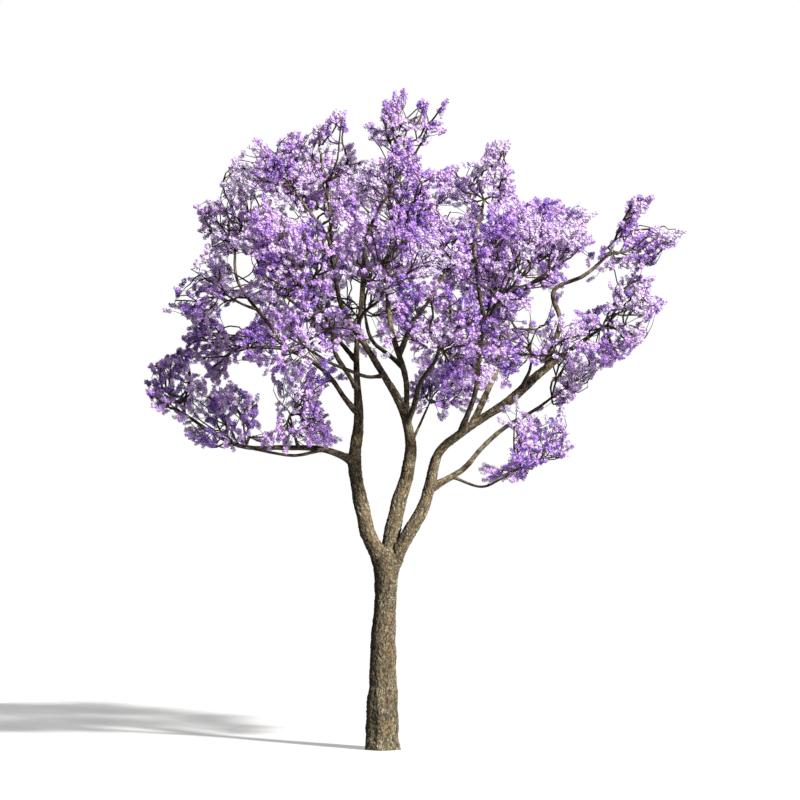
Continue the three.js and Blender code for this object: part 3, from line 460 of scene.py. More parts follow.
class JacarandaStage(bpy.types.PropertyGroup):
    """Light, floor and camera"""

    sun_strength: FloatProperty(
        name="Sun", description="Strength of the main light", default=14.9, min=0, max=30)
    sun_height: degrees("Sun height", "Angle of the main light above the horizon", 36)
    sun_side: degrees("Sun side", "Angle of the main light towards the camera's side", 43)
    sun_size: degrees("Sun softness", "Angle that the main light fills", 4)
    fill: FloatProperty(
        name="Fill", description="Strength of the light from all round", default=0.06, min=0, max=3)
    floor_radius: metres("Floor radius", "Radius of the round floor", 14, 1, 100)
    camera_distance: metres("Camera distance", "From the trunk to the camera", 75, 5, 300)
    camera_height: metres("Camera height", "Height of the camera above the ground", 6.35, 0, 50)
    camera_side: metres("Camera side", "Camera's place to the right of the trunk", 0.33, -50, 50)
    frame_width: metres("View width", "Width of the view at the trunk", 14.545, 1, 100)


# Growth

def seeded(seed):
    """Numbers from 0 to 1, the same in every run and the same as the solids use."""
    state, period = seed, 2 ** 32

    def draw():
        nonlocal state
        state = (state * 1664525 + 1013904223) % period
        return state / period

    for _ in range(3):
        draw()
    return draw


def askew(draw):
    """A seeded direction, not of unit length."""
    return np.array([draw() - 0.5, draw() - 0.5, draw() - 0.5])


def unit(vectors):
    """The same directions with a length of one."""
    return vectors / np.linalg.norm(vectors, axis=-1, keepdims=True)


def centreline(path, seed, step):
    """Smooth line through waypoints of x, y, z and diameter, as its points and radii."""
    points = np.array([entry[:3] for entry in path], float)
    last = len(points) - 1
    draw = seeded(seed)
    turns = (draw() * FULL_TURN, draw() * FULL_TURN)
    waves = [girths * path[0][3] + more for girths, more in WANDER_WAVES]
    spans = np.linalg.norm(np.diff(points, axis=0), axis=1)
    line, radii = [], []
    done = 0.0
    for i, span in enumerate(spans):
        before, after = points[max(i - 1, 0)], points[min(i + 2, last)]
        steps = max(2, int(span / step + 0.5))
        for k in range(0 if i == 0 else 1, steps + 1):
            t = k / steps
            u, v = t * t, t * t * t
            point = (before * (-0.5 * v + u - 0.5 * t) + points[i] * (1.5 * v - 2.5 * u + 1)
                     + points[i + 1] * (-1.5 * v + 2 * u + 0.5 * t) + after * (0.5 * v - 0.5 * u))
            radius = (path[i][3] + (path[i + 1][3] - path[i][3]) * t) / 2
            along = done + span * t
            sway = WANDER * 2 * radius * math.sin(math.pi * along / spans.sum())
            point[0] += sway * math.sin(along / waves[0] + turns[0])
            point[1] += sway * math.cos(along / waves[1] + turns[1])
            line.append(point)
            radii.append(radius)
        done += span
    return np.array(line), np.array(radii)


def crooked(points):
    """The same points with the whole tree above its fork bent a little here and there,
    by waves in many directions, so that what grows on a limb stays on it."""
    points = np.asarray(points, float)
    draw = seeded(CROOKED_SEED)
    shift = np.zeros_like(points)
    for _ in range(CROOKED_WAVES):
        aside, along = (unit(askew(draw)) for _ in range(2))
        wave = CROOKED_SHORTEST + CROOKED_SPREAD * draw()
        shift += aside * np.sin(points @ along * FULL_TURN / wave + FULL_TURN * draw())[:, None]
    share = np.clip((points[:, 2:] - CROOKED_FROM) / (CROOKED_AT - CROOKED_FROM), 0, 1)
    return points + CROOKED * share * share * (3 - 2 * share) * shift


def nearest_on(line, point):
    """The nearest spot to a point on a line of straight steps, and its distance."""
    steps = np.diff(line, axis=0)
    shares = np.clip(((point - line[:-1]) * steps).sum(axis=1) / (steps ** 2).sum(axis=1), 0, 1)
    spots = line[:-1] + steps * shares[:, None]
    distances = np.linalg.norm(spots - point, axis=1)
    return spots[distances.argmin()], distances.min()


def limb_lines():
    """Centrelines of the solids' boughs, and the same boughs in finer steps."""
    coarse, fine = {}, {}
    for index, (name, parent, path, *_) in enumerate(LIMBS):
        if parent == "trunk":
            line, radii = centreline(path, LIMB_SEED + index, RING_STEP)
            arm = np.array(FORK[name])[:, :3]
            line[0] = arm[2] + unit(arm[2] - arm[1]) * CUT_CLEARANCE
        else:
            foot, _ = nearest_on(coarse[parent][0], np.array(path[0][:3]))
            path = ((*foot, path[0][3]), *path[1:])
            line, radii = centreline(path, LIMB_SEED + index, RING_STEP)
            radii[0] *= 1 + COLLAR
            radii[1] *= 1 + COLLAR * COLLAR_END
        coarse[name] = (line, radii)
        line, radii = centreline(path, LIMB_SEED + index, SKIN_STEP)
        fine[name] = (line, radii * SKIN_SWELL)
    return coarse, fine


class Mass:
    """The space of one mass of twigs, and where its stem starts."""

    def __init__(self, row, coarse):
        self.row = row
        self.limb, self.name, reach = LIMBS[row][0], LIMBS[row][3], LIMBS[row][6]
        self.centre, self.radii = CENTRES[row], RADII[row]
        line, radii = coarse[self.limb]
        self.run = unit(line[-1] - line[-2])
        self.tip = radii[-1]
        self.end = line[-1]
        self.foot = self.end + self.run * (self.tip * STEM_RADII + STEM_MORE)
        self.reach = unit(np.array(reach, float)) if reach else unit(self.centre - self.foot)
        self.area = (self.radii[0] + self.radii[1]) * self.radii[2]
        self.scale = min(1.1, max(0.7, np.cbrt(self.radii.prod()) / 0.85))
        self.walls = self.limbs_near(coarse)

    def limbs_near(self, coarse):
        """Steps of the boughs near this space, and how far the twigs keep from each."""
        starts, steps, needs = [], [], []
        for name, (line, radii) in coarse.items():
            for i in range(len(line) - 1):
                if np.linalg.norm(line[i] - self.centre) < LIMB_NEAR:
                    starts.append(line[i])
                    steps.append(line[i + 1] - line[i])
                    own = name == self.limb and i + 3 > len(line)
                    needs.append(radii[i] + (0 if own else LIMB_CLEAR))
        return np.array(starts), np.array(steps), np.array(needs)

    def holds(self, points, limit, margin=SPACE_MARGIN):
        """Which points lie in this space and in no neighbour's."""
        depth = np.linalg.norm((points[:, None, :] - CENTRES) / RADII, axis=2)
        own = depth[:, self.row].copy()
        depth[:, self.row] = np.inf
        return (own <= limit) & (depth.min(axis=1) > own + margin)

    def clear(self, points, size):
        """Which points keep clear of the boughs."""
        starts, steps, needs = self.walls
        offsets = points[:, None, :] - starts
        shares = np.clip((offsets * steps).sum(axis=2) / (steps ** 2).sum(axis=1), 0, 1)
        gaps = np.linalg.norm(offsets - shares[..., None] * steps, axis=2)
        return (gaps >= needs + size).all(axis=1)

    def depth(self, points):
        """How far out points lie: 0 at the centre, 1 on the plain outline."""
        return np.linalg.norm((points - self.centre) / self.radii, axis=-1)

    def inside(self, points, margin):
        """Which points lie inside this mass's lumpy outline and keep to its own space."""
        offsets = (points - self.centre) / self.radii
        depth = np.linalg.norm(offsets, axis=1)
        ways = offsets / np.maximum(depth, 1e-6)[:, None]
        limits = np.array([FINE_LIMIT + LUMPS * self.lump(way) for way in ways])
        limits += FULLER_LIMIT * np.maximum(0, fullness(points))
        fits = (depth <= limits) & in_box(points, FINE_INSET)
        return fits & self.holds(points, ANY_DEPTH, margin)

    def lump(self, way):
        """How far the outline swells in a direction, from about -1 to 1."""
        own_part = Vector((self.row * 3.7, self.row * 1.9, 0))
        place = Vector(way) * 1.15 + own_part
        return 1.5 * noise.noise(place) + 0.5 * noise.noise(place * 2.3)


def in_box(points, inset):
    """Which points lie this far inside the box of the solids."""
    return ((points > CAD_LOW + inset) & (points < CAD_HIGH - inset)).all(axis=1)


def even_points(mass, count, draw):
    """Even seeded points in a mass's space, each the best of a few candidates."""
    kept = []
    for _ in range(count * 3):
        if len(kept) == count:
            break
        spots = np.array([[draw() * 2 - 1 for _ in range(3)] for _ in range(BEST_OF)])
        spots = spots[np.linalg.norm(spots, axis=1) <= 1]
        points = spots * CORE * mass.radii + mass.centre
        points = points[mass.holds(points, CORE) & mass.clear(points, MAIN_ROOM)]
        if len(points):
            others = np.array([mass.foot, *kept])
            room = np.linalg.norm(points[:, None] - others, axis=2).min(axis=1)
            kept.append(points[room.argmax()])
    return kept


class Twigs:
    """Points of the twigs in one mass, each with its parent and its way from the stem."""

    def __init__(self, foot):
        self.points, self.parents, self.ways = [foot], [-1], [0.0]

    def add(self, point, parent):
        self.points.append(point)
        self.parents.append(parent)
        self.ways.append(self.ways[parent] + np.linalg.norm(point - self.points[parent]))
        return len(self.points) - 1


def grow(mass, twigs, points, size, checks, limit=1, longest=math.inf):
    """The growth rule: each new point joins the twig that costs the least, counted as
    the way to it plus a share of that twig's own way from the stem. A twig that
    leaves the space, touches a bough or is too long is skipped."""
    waiting = np.array(points)
    cost = np.linalg.norm(waiting[:, None] - np.array(twigs.points), axis=2)
    cost += PATH_BALANCE * np.array(twigs.ways)
    best, least = cost.argmin(axis=1), cost.min(axis=1)
    shares = np.arange(1, checks + 1)[:, None] / checks
    for _ in range(len(waiting)):
        pick = int(least.argmin())
        parent, point = int(best[pick]), waiting[pick]
        least[pick] = np.inf
        best[pick] = -1
        way = twigs.points[parent] + (point - twigs.points[parent]) * shares
        fits = np.linalg.norm(point - twigs.points[parent]) < longest
        if parent == 0 or (fits and mass.holds(way, limit).all() and mass.clear(way, size).all()):
            added = twigs.add(point, parent)
            cost = np.linalg.norm(waiting - point, axis=1) + PATH_BALANCE * twigs.ways[added]
            closer = (cost < least) & (best >= 0)
            least[closer], best[closer] = cost[closer], added


def main_twigs(mass, count, draw):
    """The same twigs as the mass's solid."""
    points = even_points(mass, count, draw)
    far = mass.centre + mass.reach * mass.radii
    points.append(far - unit(far - mass.centre) * SPRAY_LENGTH * mass.scale)
    twigs = Twigs(mass.foot)
    grow(mass, twigs, points, MAIN_SIZE, MAIN_CHECKS)
    return twigs


def with_bends(main, draw):
    """The main twigs in shorter steps that sway a little, for finer twigs to join."""
    twigs = Twigs(main.points[0])
    rows = {0: 0}
    for i in range(1, len(main.points)):
        start, end = main.points[main.parents[i]], main.points[i]
        span = np.linalg.norm(end - start)
        steps = max(1, round(span / TWIG_STEP))
        aside = np.cross(end - start, askew(draw))
        aside = unit(aside) * span * (TWIG_BEND + BEND_SPREAD * draw())
        other = np.cross(aside, unit(end - start))
        row = rows[main.parents[i]]
        for k in range(1, steps + 1):
            turn = math.pi * k / steps
            point = start + (end - start) * k / steps
            point = point + aside * math.sin(turn) + other * DOUBLE_BEND * math.sin(2 * turn)
            row = twigs.add(point, row)
        rows[i] = row
    return twigs


def under_sky(points):
    """Which points hide the sky that the photograph shows round and through the crown."""
    x, _, z = crooked(points).T
    within = np.zeros(len(points), bool)
    for (x0, z0), (x1, z1) in zip(OUTLINE, (*OUTLINE[1:], OUTLINE[0])):
        if z0 != z1:
            within ^= ((z0 > z) != (z1 > z)) & (x < (x1 - x0) * (z - z0) / (z1 - z0) + x0)
    hidden = ~within
    for middle_x, middle_z, half_width, half_height in SKY:
        hidden |= ((x - middle_x) / half_width) ** 2 + ((z - middle_z) / half_height) ** 2 < 1
    return hidden


def fullness(points):
    """How much fuller than the rule makes it the photograph shows the crown."""
    x, _, z = crooked(points).T
    total = np.zeros(len(points))
    for middle_x, middle_z, radius, amount in FULLNESS:
        total += amount * np.clip(2 - 2 * np.hypot(x - middle_x, z - middle_z) / radius, 0, 1)
    return total


def before_wood(points, lines, masses):
    """Which points hide a bough, or a thick twig just behind them, from the
    photograph's side."""
    hidden = np.zeros(len(points), bool)
    for line, radii in lines.values():
        for spot, radius in zip(line[::2], radii[::2]):
            offsets = points - spot
            near = np.hypot(offsets[:, 0], offsets[:, 2]) < radius + BARE_WIDTH
            hidden |= near & (offsets[:, 1] < 0)
    for mass in masses:
        spots = mass.points[mass.load > BARE_LOAD]
        offsets = points[:, None] - spots
        near = np.hypot(offsets[..., 0], offsets[..., 2]) < BARE_TWIG_WIDTH
        hidden |= (near & (offsets[..., 1] < 0) & (offsets[..., 1] > -BARE_DEPTH)).any(axis=1)
    return hidden


def clumps(point):
    """How full the crown is at a point, from about -1 to 1: large clumps, and small
    ones on them."""
    place = Vector(point)
    small = noise.noise(place / SMALL_CLUMPS + Vector((7, 3, 5)))
    return noise.noise(place / LARGE_CLUMPS) + SMALL_SHARE * small


def fine_points(mass, draw):
    """Seeded points for the finer twigs, closest together in the outer crown."""
    tries = int(CANDIDATES * mass.radii.prod() * 8 * FINE_REACH ** 3)
    spots = np.array([draw() * 2 - 1 for _ in range(tries * 3)]).reshape(-1, 3)
    points = spots * FINE_REACH * mass.radii + mass.centre
    points = points[mass.inside(points, FINE_MARGIN)]
    stray = np.array([[draw() - 0.5, 0, draw() - 0.5] for _ in points]) * EDGE_STRAY
    points = points[mass.clear(points, FINE_ROOM) & ~under_sky(points + stray)]
    kept = np.empty((len(points), 3))
    count = 0
    for point, depth, fuller in zip(points, mass.depth(points), fullness(points)):
        if clumps(point) < THIN_FROM - THIN_SLOPE * min(depth, 1) - fuller:
            continue
        outer = min(1, depth / OUTER_FROM)
        spacing = INNER_SPACING + (FINE_SPACING - INNER_SPACING) * outer
        if count == 0 or np.linalg.norm(kept[:count] - point, axis=1).min() > spacing:
            kept[count] = point
            count += 1
    return kept[:count]


def with_loads(twigs):
    """For each point, the count of points it carries and its heaviest child."""
    load = [1] * len(twigs.points)
    heir = [-1] * len(twigs.points)
    for i in range(len(load) - 1, 0, -1):
        parent = twigs.parents[i]
        load[parent] += load[i]
        if heir[parent] < 0 or load[i] > load[heir[parent]]:
            heir[parent] = i
    return np.array(load), np.array(heir)


def smoothed(twigs, heir):
    """Points with the kinks along each twig eased."""
    points = np.array(twigs.points)
    inner = np.array([i for i in range(1, len(points)) if heir[i] >= 0], int)
    parents = np.array(twigs.parents)[inner]
    middle = (points[parents] + points[heir[inner]]) / 2
    points[inner] += (middle - points[inner]) * KINK_EASE
    return points


TREE = {}


def tree():
    """The grown tree, worked out once: boughs, and the masses with their twigs."""
    if TREE:
        return TREE
    coarse, fine = limb_lines()
    masses = [Mass(row, coarse) for row in range(len(LIMBS))]
    total = sum(mass.area for mass in masses)
    for mass in masses:
        draw = seeded(MASS_SEED + mass.row * MASS_SEED_STEP)
        main = main_twigs(mass, int(SPRAYS * mass.area / total + 0.5), draw)
        draw = seeded(FINE_SEED + mass.row * MASS_SEED_STEP)
        twigs = with_bends(main, draw)
        points = fine_points(mass, draw)
        grow(mass, twigs, points, FINE_SIZE, FINE_CHECKS, ANY_DEPTH, FINE_LONGEST)
        mass.load, mass.heir = with_loads(twigs)
        mass.parents = twigs.parents
        mass.points = smoothed(twigs, mass.heir)
    for mass in masses:
        mass.sprays = sprays_of(mass, fine, masses)
    TREE.update(fine=fine, masses=masses)
    return TREE


# Shapes

def placements(line, radii):
    """A matrix for each point of a line: square to it, with no twist, scaled to its radius."""
    side = Vector((0, 1, 0))
    made = []
    points = [Vector(point) for point in line]
    for i, point in enumerate(points):
        tangent = (points[min(i + 1, len(points) - 1)] - points[max(i - 1, 0)]).normalized()
        side = (side - tangent * side.dot(tangent)).normalized()
        other = tangent.cross(side)
        turn = Matrix((side, other, tangent)).transposed().to_4x4()
        made.append(Matrix.Translation(point) @ turn @ Matrix.Scale(radii[i], 4))
    return made


def add_tube(shape, line, radii, sides):
    """Closed tube along a line: a circle extruded from place to place."""
    places = placements(line, radii)
    made = bmesh.ops.create_circle(
        shape, cap_ends=True, radius=1, segments=sides, matrix=places[0])
    edges = list(dict.fromkeys(edge for vert in made["verts"] for edge in vert.link_edges))
    for before, after in zip(places, places[1:]):
        made = bmesh.ops.extrude_edge_only(shape, edges=edges)["geom"]
        verts = [item for item in made if isinstance(item, bmesh.types.BMVert)]
        edges = [item for item in made if isinstance(item, bmesh.types.BMEdge) and item.is_boundary]
        bmesh.ops.transform(shape, matrix=after @ before.inverted(), verts=verts)
    bmesh.ops.edgeloop_fill(shape, edges=edges)


def mesh_from(shape, name):
    """A mesh of a finished bmesh, its faces pointing out."""
    bmesh.ops.recalc_face_normals(shape, faces=shape.faces)
    mesh = bpy.data.meshes.new(name)
    shape.to_mesh(mesh)
    shape.free()
    return mesh


def in_order(shape):
    """Sorts the faces of a bmesh by their points, so that they are the same each run."""
    shape.verts.index_update()
    order = sorted(shape.faces, key=lambda face: sorted(vert.index for vert in face.verts))
    for index, face in enumerate(order):
        face.index = index
    shape.faces.sort()


def placed(name, data):
    """A new object in the scene."""
    made = bpy.data.objects.new(name, data)
    bpy.context.scene.collection.objects.link(made)
    return made


def piece(name, mesh, material, nodes):
    """Puts a finished mesh in the scene as a piece of the tree."""
    mesh.materials.clear()
    mesh.materials.append(material)
    mesh.shade_smooth()
    made = placed(name, mesh)
    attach(made, "root")
    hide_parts(*nodes)


def store(mesh, name, values):
    """Keeps one value or vector for each point on a mesh, for its material to read."""
    vector = values.ndim == 2
    layer = mesh.attributes.new(name, "FLOAT_VECTOR" if vector else "FLOAT", "POINT")
    layer.data.foreach_set("vector" if vector else "value", values.astype(np.float32).ravel())


def bark_axes(lines):
    """Samples along centrelines, each with its direction, for bark to run along."""
    samples = []
    for line, radii in lines:
        along = 0.0
        previous = Vector(line[0])
        for matrix, radius in zip(placements(line, np.ones(len(line))), radii):
            point = matrix.translation.copy()
            along += (point - previous).length
            previous = point
            samples.append((point, matrix.inverted(), along, radius))
    return samples


def dress_in_bark(mesh, samples, depth):
    """Moves a mesh's points in and out as bark furrows, and stores on it where each
    point lies along its bough, how deep in a furrow it is, the bough's girth, and how
    far the bark faces away from the sun, for the painted shade on that side."""
    tree_of_samples = kdtree.KDTree(len(samples))
    for i, (point, *_) in enumerate(samples):
        tree_of_samples.insert(point, i)
    tree_of_samples.balance()
    count = len(mesh.vertices)
    places, moved = (np.empty((count, 3), np.float32) for _ in range(2))
    reliefs, girths, painted_shades = (np.empty(count, np.float32) for _ in range(3))
    for i, vertex in enumerate(mesh.vertices):
        co = vertex.co
        near = tree_of_samples.find_n(co, NEAR_SAMPLES)
        index = min(near, key=lambda found: found[2] - samples[found[1]][3])[1]
        _, inverse, along, radius = samples[index]
        local = inverse @ co
        place = Vector((local.x, local.y, local.z + along))
        relief = furrows(place, radius)
        swell = sum(share * noise.noise(co / size) for share, size in SWELLINGS)
        across = Vector((place.x / RIDGE_WIDTH, place.y / RIDGE_WIDTH, place.z / RIDGE_LENGTH))
        ridge = RIDGES * noise.noise(across)
        furrow = depth * min(1, radius / OLD_RADIUS) ** BARK_GROWTH * relief
        moved[i] = co + vertex.normal * (furrow + radius * (swell + ridge))
        places[i], reliefs[i], girths[i] = place, relief, radius
        # painted shade: how far this point faces away from the sun
        painted_shades[i] = PAINTED_SHADE_FROM - vertex.normal.dot(SUNNY_SIDE)
    mesh.vertices.foreach_set("co", crooked(moved).astype(np.float32).ravel())
    store(mesh, "bark_place", places)
    store(mesh, "relief", reliefs)
    store(mesh, "girth", girths)
    store(mesh, "damp", painted_shades)
    mesh.update()


def furrows(place, radius):
    """Height of old bark: long plates parted by furrows, from -1 to about 0.6."""
    size = 0.5 + 1.6 * min(radius, 0.2)
    bend = Vector((noise.noise(place / 0.07), noise.noise(place / 0.06 + Vector((5, 1, 2))),
                   noise.noise(place / 0.10 + Vector((2, 8, 4)))))
    bent = place + PLATE_BEND * bend
    spot = Vector((bent.x / PLATE_WIDTH, bent.y / PLATE_WIDTH, bent.z / PLATE_LENGTH)) / size
    gaps, _ = noise.voronoi(spot)
    plate = min(1.0, (gaps[1] - gaps[0]) / FURROW_WIDTH)
    rough = noise.fractal(Vector((bent.x, bent.y, bent.z * 0.6)) / ROUGH_SIZE, 0.8, 2.0, 3)
    broad = noise.noise(place / BROAD_SIZE)
    return -0.45 + (0.75 + 0.5 * broad) * plate + 0.55 * rough


def trunk_shape():
    """Trunk, fork and three limbs as plain tubes that run into each other, and their
    lines."""
    heights = np.array([ring[0] for ring in TRUNK])
    steps = np.linspace(-BELOW_GROUND, heights[-1], TRUNK_RINGS)
    x, y, widths = (np.interp(steps, heights, [ring[k] for ring in TRUNK]) for k in (1, 2, 3))
    lines = [(np.column_stack((x, y, steps)), widths / 2)]
    shape = bmesh.new()
    add_tube(shape, *lines[0], TRUNK_SIDES)
    for vertex in shape.verts:
        angle = math.atan2(vertex.co.y, vertex.co.x)
        fading = math.exp(-max(0.0, vertex.co.z) / ROOT_LOBE_HEIGHT)
        lobe = ROOT_LOBE_DEPTH * fading * math.cos(ROOT_LOBES * angle + ROOT_LOBE_TURN)
        vertex.co.x *= 1 + lobe
        vertex.co.y *= 1 + lobe
    for name, arm in FORK.items():
        arm = np.array(arm)
        line, radii = tree()["fine"][name]
        lines.append((np.vstack((arm[:2, :3], line)), np.concatenate((arm[:2, 3] / 2, radii))))
        add_tube(shape, *lines[-1], ARM_SIDES)
    return mesh_from(shape, "rough_trunk"), lines


def make_trunk(sizes, colours):
    """Trunk, fork and the three limbs in one skin of bark, cut flat at the ground."""
    mesh, lines = trunk_shape()
    rough = placed("rough_trunk", mesh)
    remesh = rough.modifiers.new("Skin", "REMESH")
    remesh.mode = "VOXEL"
    remesh.voxel_size = sizes.skin_voxel
    ease = rough.modifiers.new("Ease", "SMOOTH")
    ease.iterations = EASE_ROUNDS
    ease.factor = EASE_SHARE
    evaluated = rough.evaluated_get(bpy.context.evaluated_depsgraph_get())
    mesh = bpy.data.meshes.new_from_object(evaluated)
    bpy.data.objects.remove(rough)
    dress_in_bark(mesh, bark_axes(lines), sizes.bark_depth)

    shape = bmesh.new()
    shape.from_mesh(mesh)
    bmesh.ops.triangulate(shape, faces=shape.faces)
    cut = bmesh.ops.bisect_plane(
        shape, geom=[*shape.verts, *shape.edges, *shape.faces], dist=1e-6,
        plane_co=(0, 0, 0), plane_no=(0, 0, -1), clear_outer=True)
    rim = [item for item in cut["geom_cut"] if isinstance(item, bmesh.types.BMEdge)]
    bmesh.ops.edgeloop_fill(shape, edges=rim)
    bark = bark_material("old_bark", colours, 1.0)
    piece("trunk_and_limbs", mesh_from(shape, "trunk_and_limbs"), bark, ["trunk", *FORK])


def bough_radii(line, radii, parent_line, parent_radii):
    """Radii of a bough that swell to a collar where it leaves its parent."""
    along = np.concatenate(([0], np.cumsum(np.linalg.norm(np.diff(line, axis=0), axis=1))))
    nearest = np.linalg.norm(parent_line - line[0], axis=1).argmin()
    girth = parent_radii[nearest]
    past = np.maximum(0, along - girth * COLLAR_FROM)
    swollen = radii * (1 + COLLAR_SWELL * np.exp(-past / (COLLAR_RADII * radii[0])))
    return np.minimum(swollen, np.maximum(radii, COLLAR_LIMIT * girth))


def make_boughs(sizes, colours):
    """All boughs that leave another bough, each sunk into it with a collar."""
    fine = tree()["fine"]
    shape = bmesh.new()
    lines, names = [], []
    for name, parent, *_ in LIMBS:
        if parent == "trunk":
            continue
        line, radii = fine[name]
        radii = bough_radii(line, radii, *fine[parent])
        one = bmesh.new()
        add_tube(one, line, radii, sizes.bough_sides)
        in_order(one)
        mesh = mesh_from(one, name)
        shape.from_mesh(mesh)
        bpy.data.meshes.remove(mesh)
        lines.append((line, radii))
        names.append(name)
    mesh = mesh_from(shape, "side_boughs")
    dress_in_bark(mesh, bark_axes(lines), sizes.bark_depth)
    piece("side_boughs", mesh, bark_material("bough_bark", colours, 1.3), names)


class Soup:
    """Points and triangles of many small shapes, joined as they are made."""

    def __init__(self):
        self.points, self.faces, self.size = [], [], 0

    def add(self, points, faces):
        self.points.append(np.asarray(points, float))
        self.faces.append(np.asarray(faces, int) + self.size)
        self.size += len(points)

    def mesh(self, name):
        mesh = bpy.data.meshes.new(name)
        mesh.from_pydata(crooked(np.vstack(self.points)), [], np.vstack(self.faces))
        mesh.update()
        return mesh


def add_twig(soup, line, radii):
    """A twig of a few faces, closed at its foot and drawn to a point at its tip."""
    sides = next(count for width, count in TWIG_SIDES if radii[0] > width)
    angles = np.arange(sides) * 2 * np.pi / sides
    rim = np.column_stack((np.cos(angles), np.sin(angles), np.zeros(sides), np.ones(sides)))
    points = np.vstack([rim @ np.array(place).T for place in placements(line, radii)[:-1]])[:, :3]
    points = np.vstack((points, line[-1]))
    faces = [(0, k + 1, k) for k in range(1, sides - 1)]
    rings = len(line) - 1
    for ring in range(rings - 1):
        for k in range(sides):
            a, b = ring * sides + k, ring * sides + (k + 1) % sides
            faces += [(a, b, b + sides), (a, b + sides, a + sides)]
    top = (rings - 1) * sides
    faces += [(len(points) - 1, top + k, top + (k + 1) % sides) for k in range(sides)]
    soup.add(points, faces)


def twig_radii(mass, tip):
    """Radius at each point: it grows with what the twig carries, up to the stem's."""
    share = np.log(mass.load) / math.log(mass.load[0])
    return tip * (mass.tip / tip) ** share * (1 + TWIG_BELLY * np.sin(math.pi * share))


def sprays_of(mass, lines, masses):
    """Where a mass's blossom stands: for each panicle its twig, its foot, its direction,
    its length and whether it ends the twig. The last twigs carry one on their tip,
    others on a short side stalk."""
    draw = seeded(FINE_SEED * 2 + mass.row)
    panicle = bpy.context.scene.jacaranda_sizes.panicle
    made, thinned = [], []
    for i in range(1, len(mass.points)):
        point = mass.points[i]
        along = point - mass.points[mass.parents[i]]
        along = along / max(1e-6, np.linalg.norm(along))
        out = (point - mass.centre) / mass.radii
        turn = askew(draw)
        length = panicle * (SHORTEST_PANICLE + PANICLE_SPREAD * draw())
        thin = draw() < BARE_SHARE
        last = mass.heir[i] < 0
        depth = np.linalg.norm(out)
        if depth < (HEART if last else INNER) or not last and mass.load[i] > HEAVY:
            continue
        if not last:
            along, turn, length = along * SIDE_ALONG, turn * SIDE_ASKEW, length * SIDE_LENGTH
        axis = along + PANICLE_OUT * out + PANICLE_ASKEW * turn + np.array([0, 0, PANICLE_UP])
        made.append((i, point, axis / np.linalg.norm(axis), length, last))
        thinned.append(thin)
    tips = np.array([point + axis * (length + 0.03) for _, point, axis, length, _ in made])
    middles = np.array([point + axis * length * 0.6 for _, point, axis, length, _ in made])
    fits = mass.holds(tips, ANY_DEPTH, PANICLE_MARGIN) & mass.clear(tips, 0) & ~under_sky(tips)
    fits &= in_box(tips, BLOSSOM_INSET)
    fits &= ~(before_wood(middles, lines, masses) & np.array(thinned))
    return [spray for spray, fit in zip(made, fits) if fit]


def twigs_of(mass, tip):
    """Lines and radii of a mass's side stalks and of each twig that bears blossom or
    shows bare, from where it leaves another to its end."""
    radii = twig_radii(mass, tip)
    bears = mass.load > BARE_TWIG
    stalks = {}
    for i, point, axis, length, last in mass.sprays:
        bears[i] = True
        if last:
            stalks[i] = point + axis * length
        else:
            yield [point, point + axis * length], [tip * STALK_WIDTH, 0]
    for i in range(len(bears) - 1, 0, -1):
        bears[mass.parents[i]] |= bears[i]
    for i, parent in enumerate(mass.parents):
        if not bears[i] or i > 0 and mass.heir[parent] == i:
            continue
        if i == 0:
            line = [mass.end - mass.run * SUNK_STEM, mass.end]
            widths = [mass.tip * STEM_SHARE, mass.tip * STEM_SHARE]
        else:
            line = [mass.points[parent]]
            widths = [min(radii[parent] * FOOT_LIMIT, radii[i] * TWIG_FOOT)]
        k = i
        while k >= 0 and bears[k]:
            line.append(mass.points[k])
            widths.append(radii[k])
            end, k = k, mass.heir[k]
        line.append(stalks.get(end, line[-1] + (line[-1] - line[-2]) * TWIG_END))
        yield line, [*widths, 0]


def make_twigs(sizes, colours):
    """The twigs and the stalks of the blossom, in two pieces, left and right."""
    material = bark_material("twig_bark", colours, 2.4, 0.5)
    for half in ("left", "right"):
        soup, names = Soup(), []
        for mass in tree()["masses"]:
            if half == ("left" if mass.centre[0] < MIDDLE else "right"):
                names.append(mass.name)
                for line, radii in twigs_of(mass, sizes.twig_tip / 2):
                    add_twig(soup, line, radii)
        mesh = soup.mesh(f"twigs_{half}")
        count = len(mesh.vertices)
        points = np.empty(count * 3, np.float32)
        mesh.vertices.foreach_get("co", points)
        store(mesh, "bark_place", points.reshape(-1, 3))
        store(mesh, "relief", np.full(count, 0.1))
        store(mesh, "girth", np.full(count, 0.01))
        piece(f"twigs_{half}", mesh, material, names)


def flower_shape(width):
    """One flower: a trumpet of lobes that widen from its foot to its mouth. Also how
    far out on the petals each point lies, from 0 to 1."""
    points, faces = [(0, 0, 0)], []
    for k in range(LOBES):
        reach = LOBE_REACH if k in (0, 1, 4) else LOWER_REACH
        first = len(points)
        for share, turn, height in LOBE_POINTS:
            angle = 2 * math.pi * (k + turn) / LOBES
            out = reach * share * width
            points.append((out * math.cos(angle), out * math.sin(angle), height * width))
        faces += [(0, first, first + 2), (first, first + 1, first + 2)]
    petal = np.ones(len(points))
    petal[0] = 0
    return np.array(points), petal, np.array(faces)


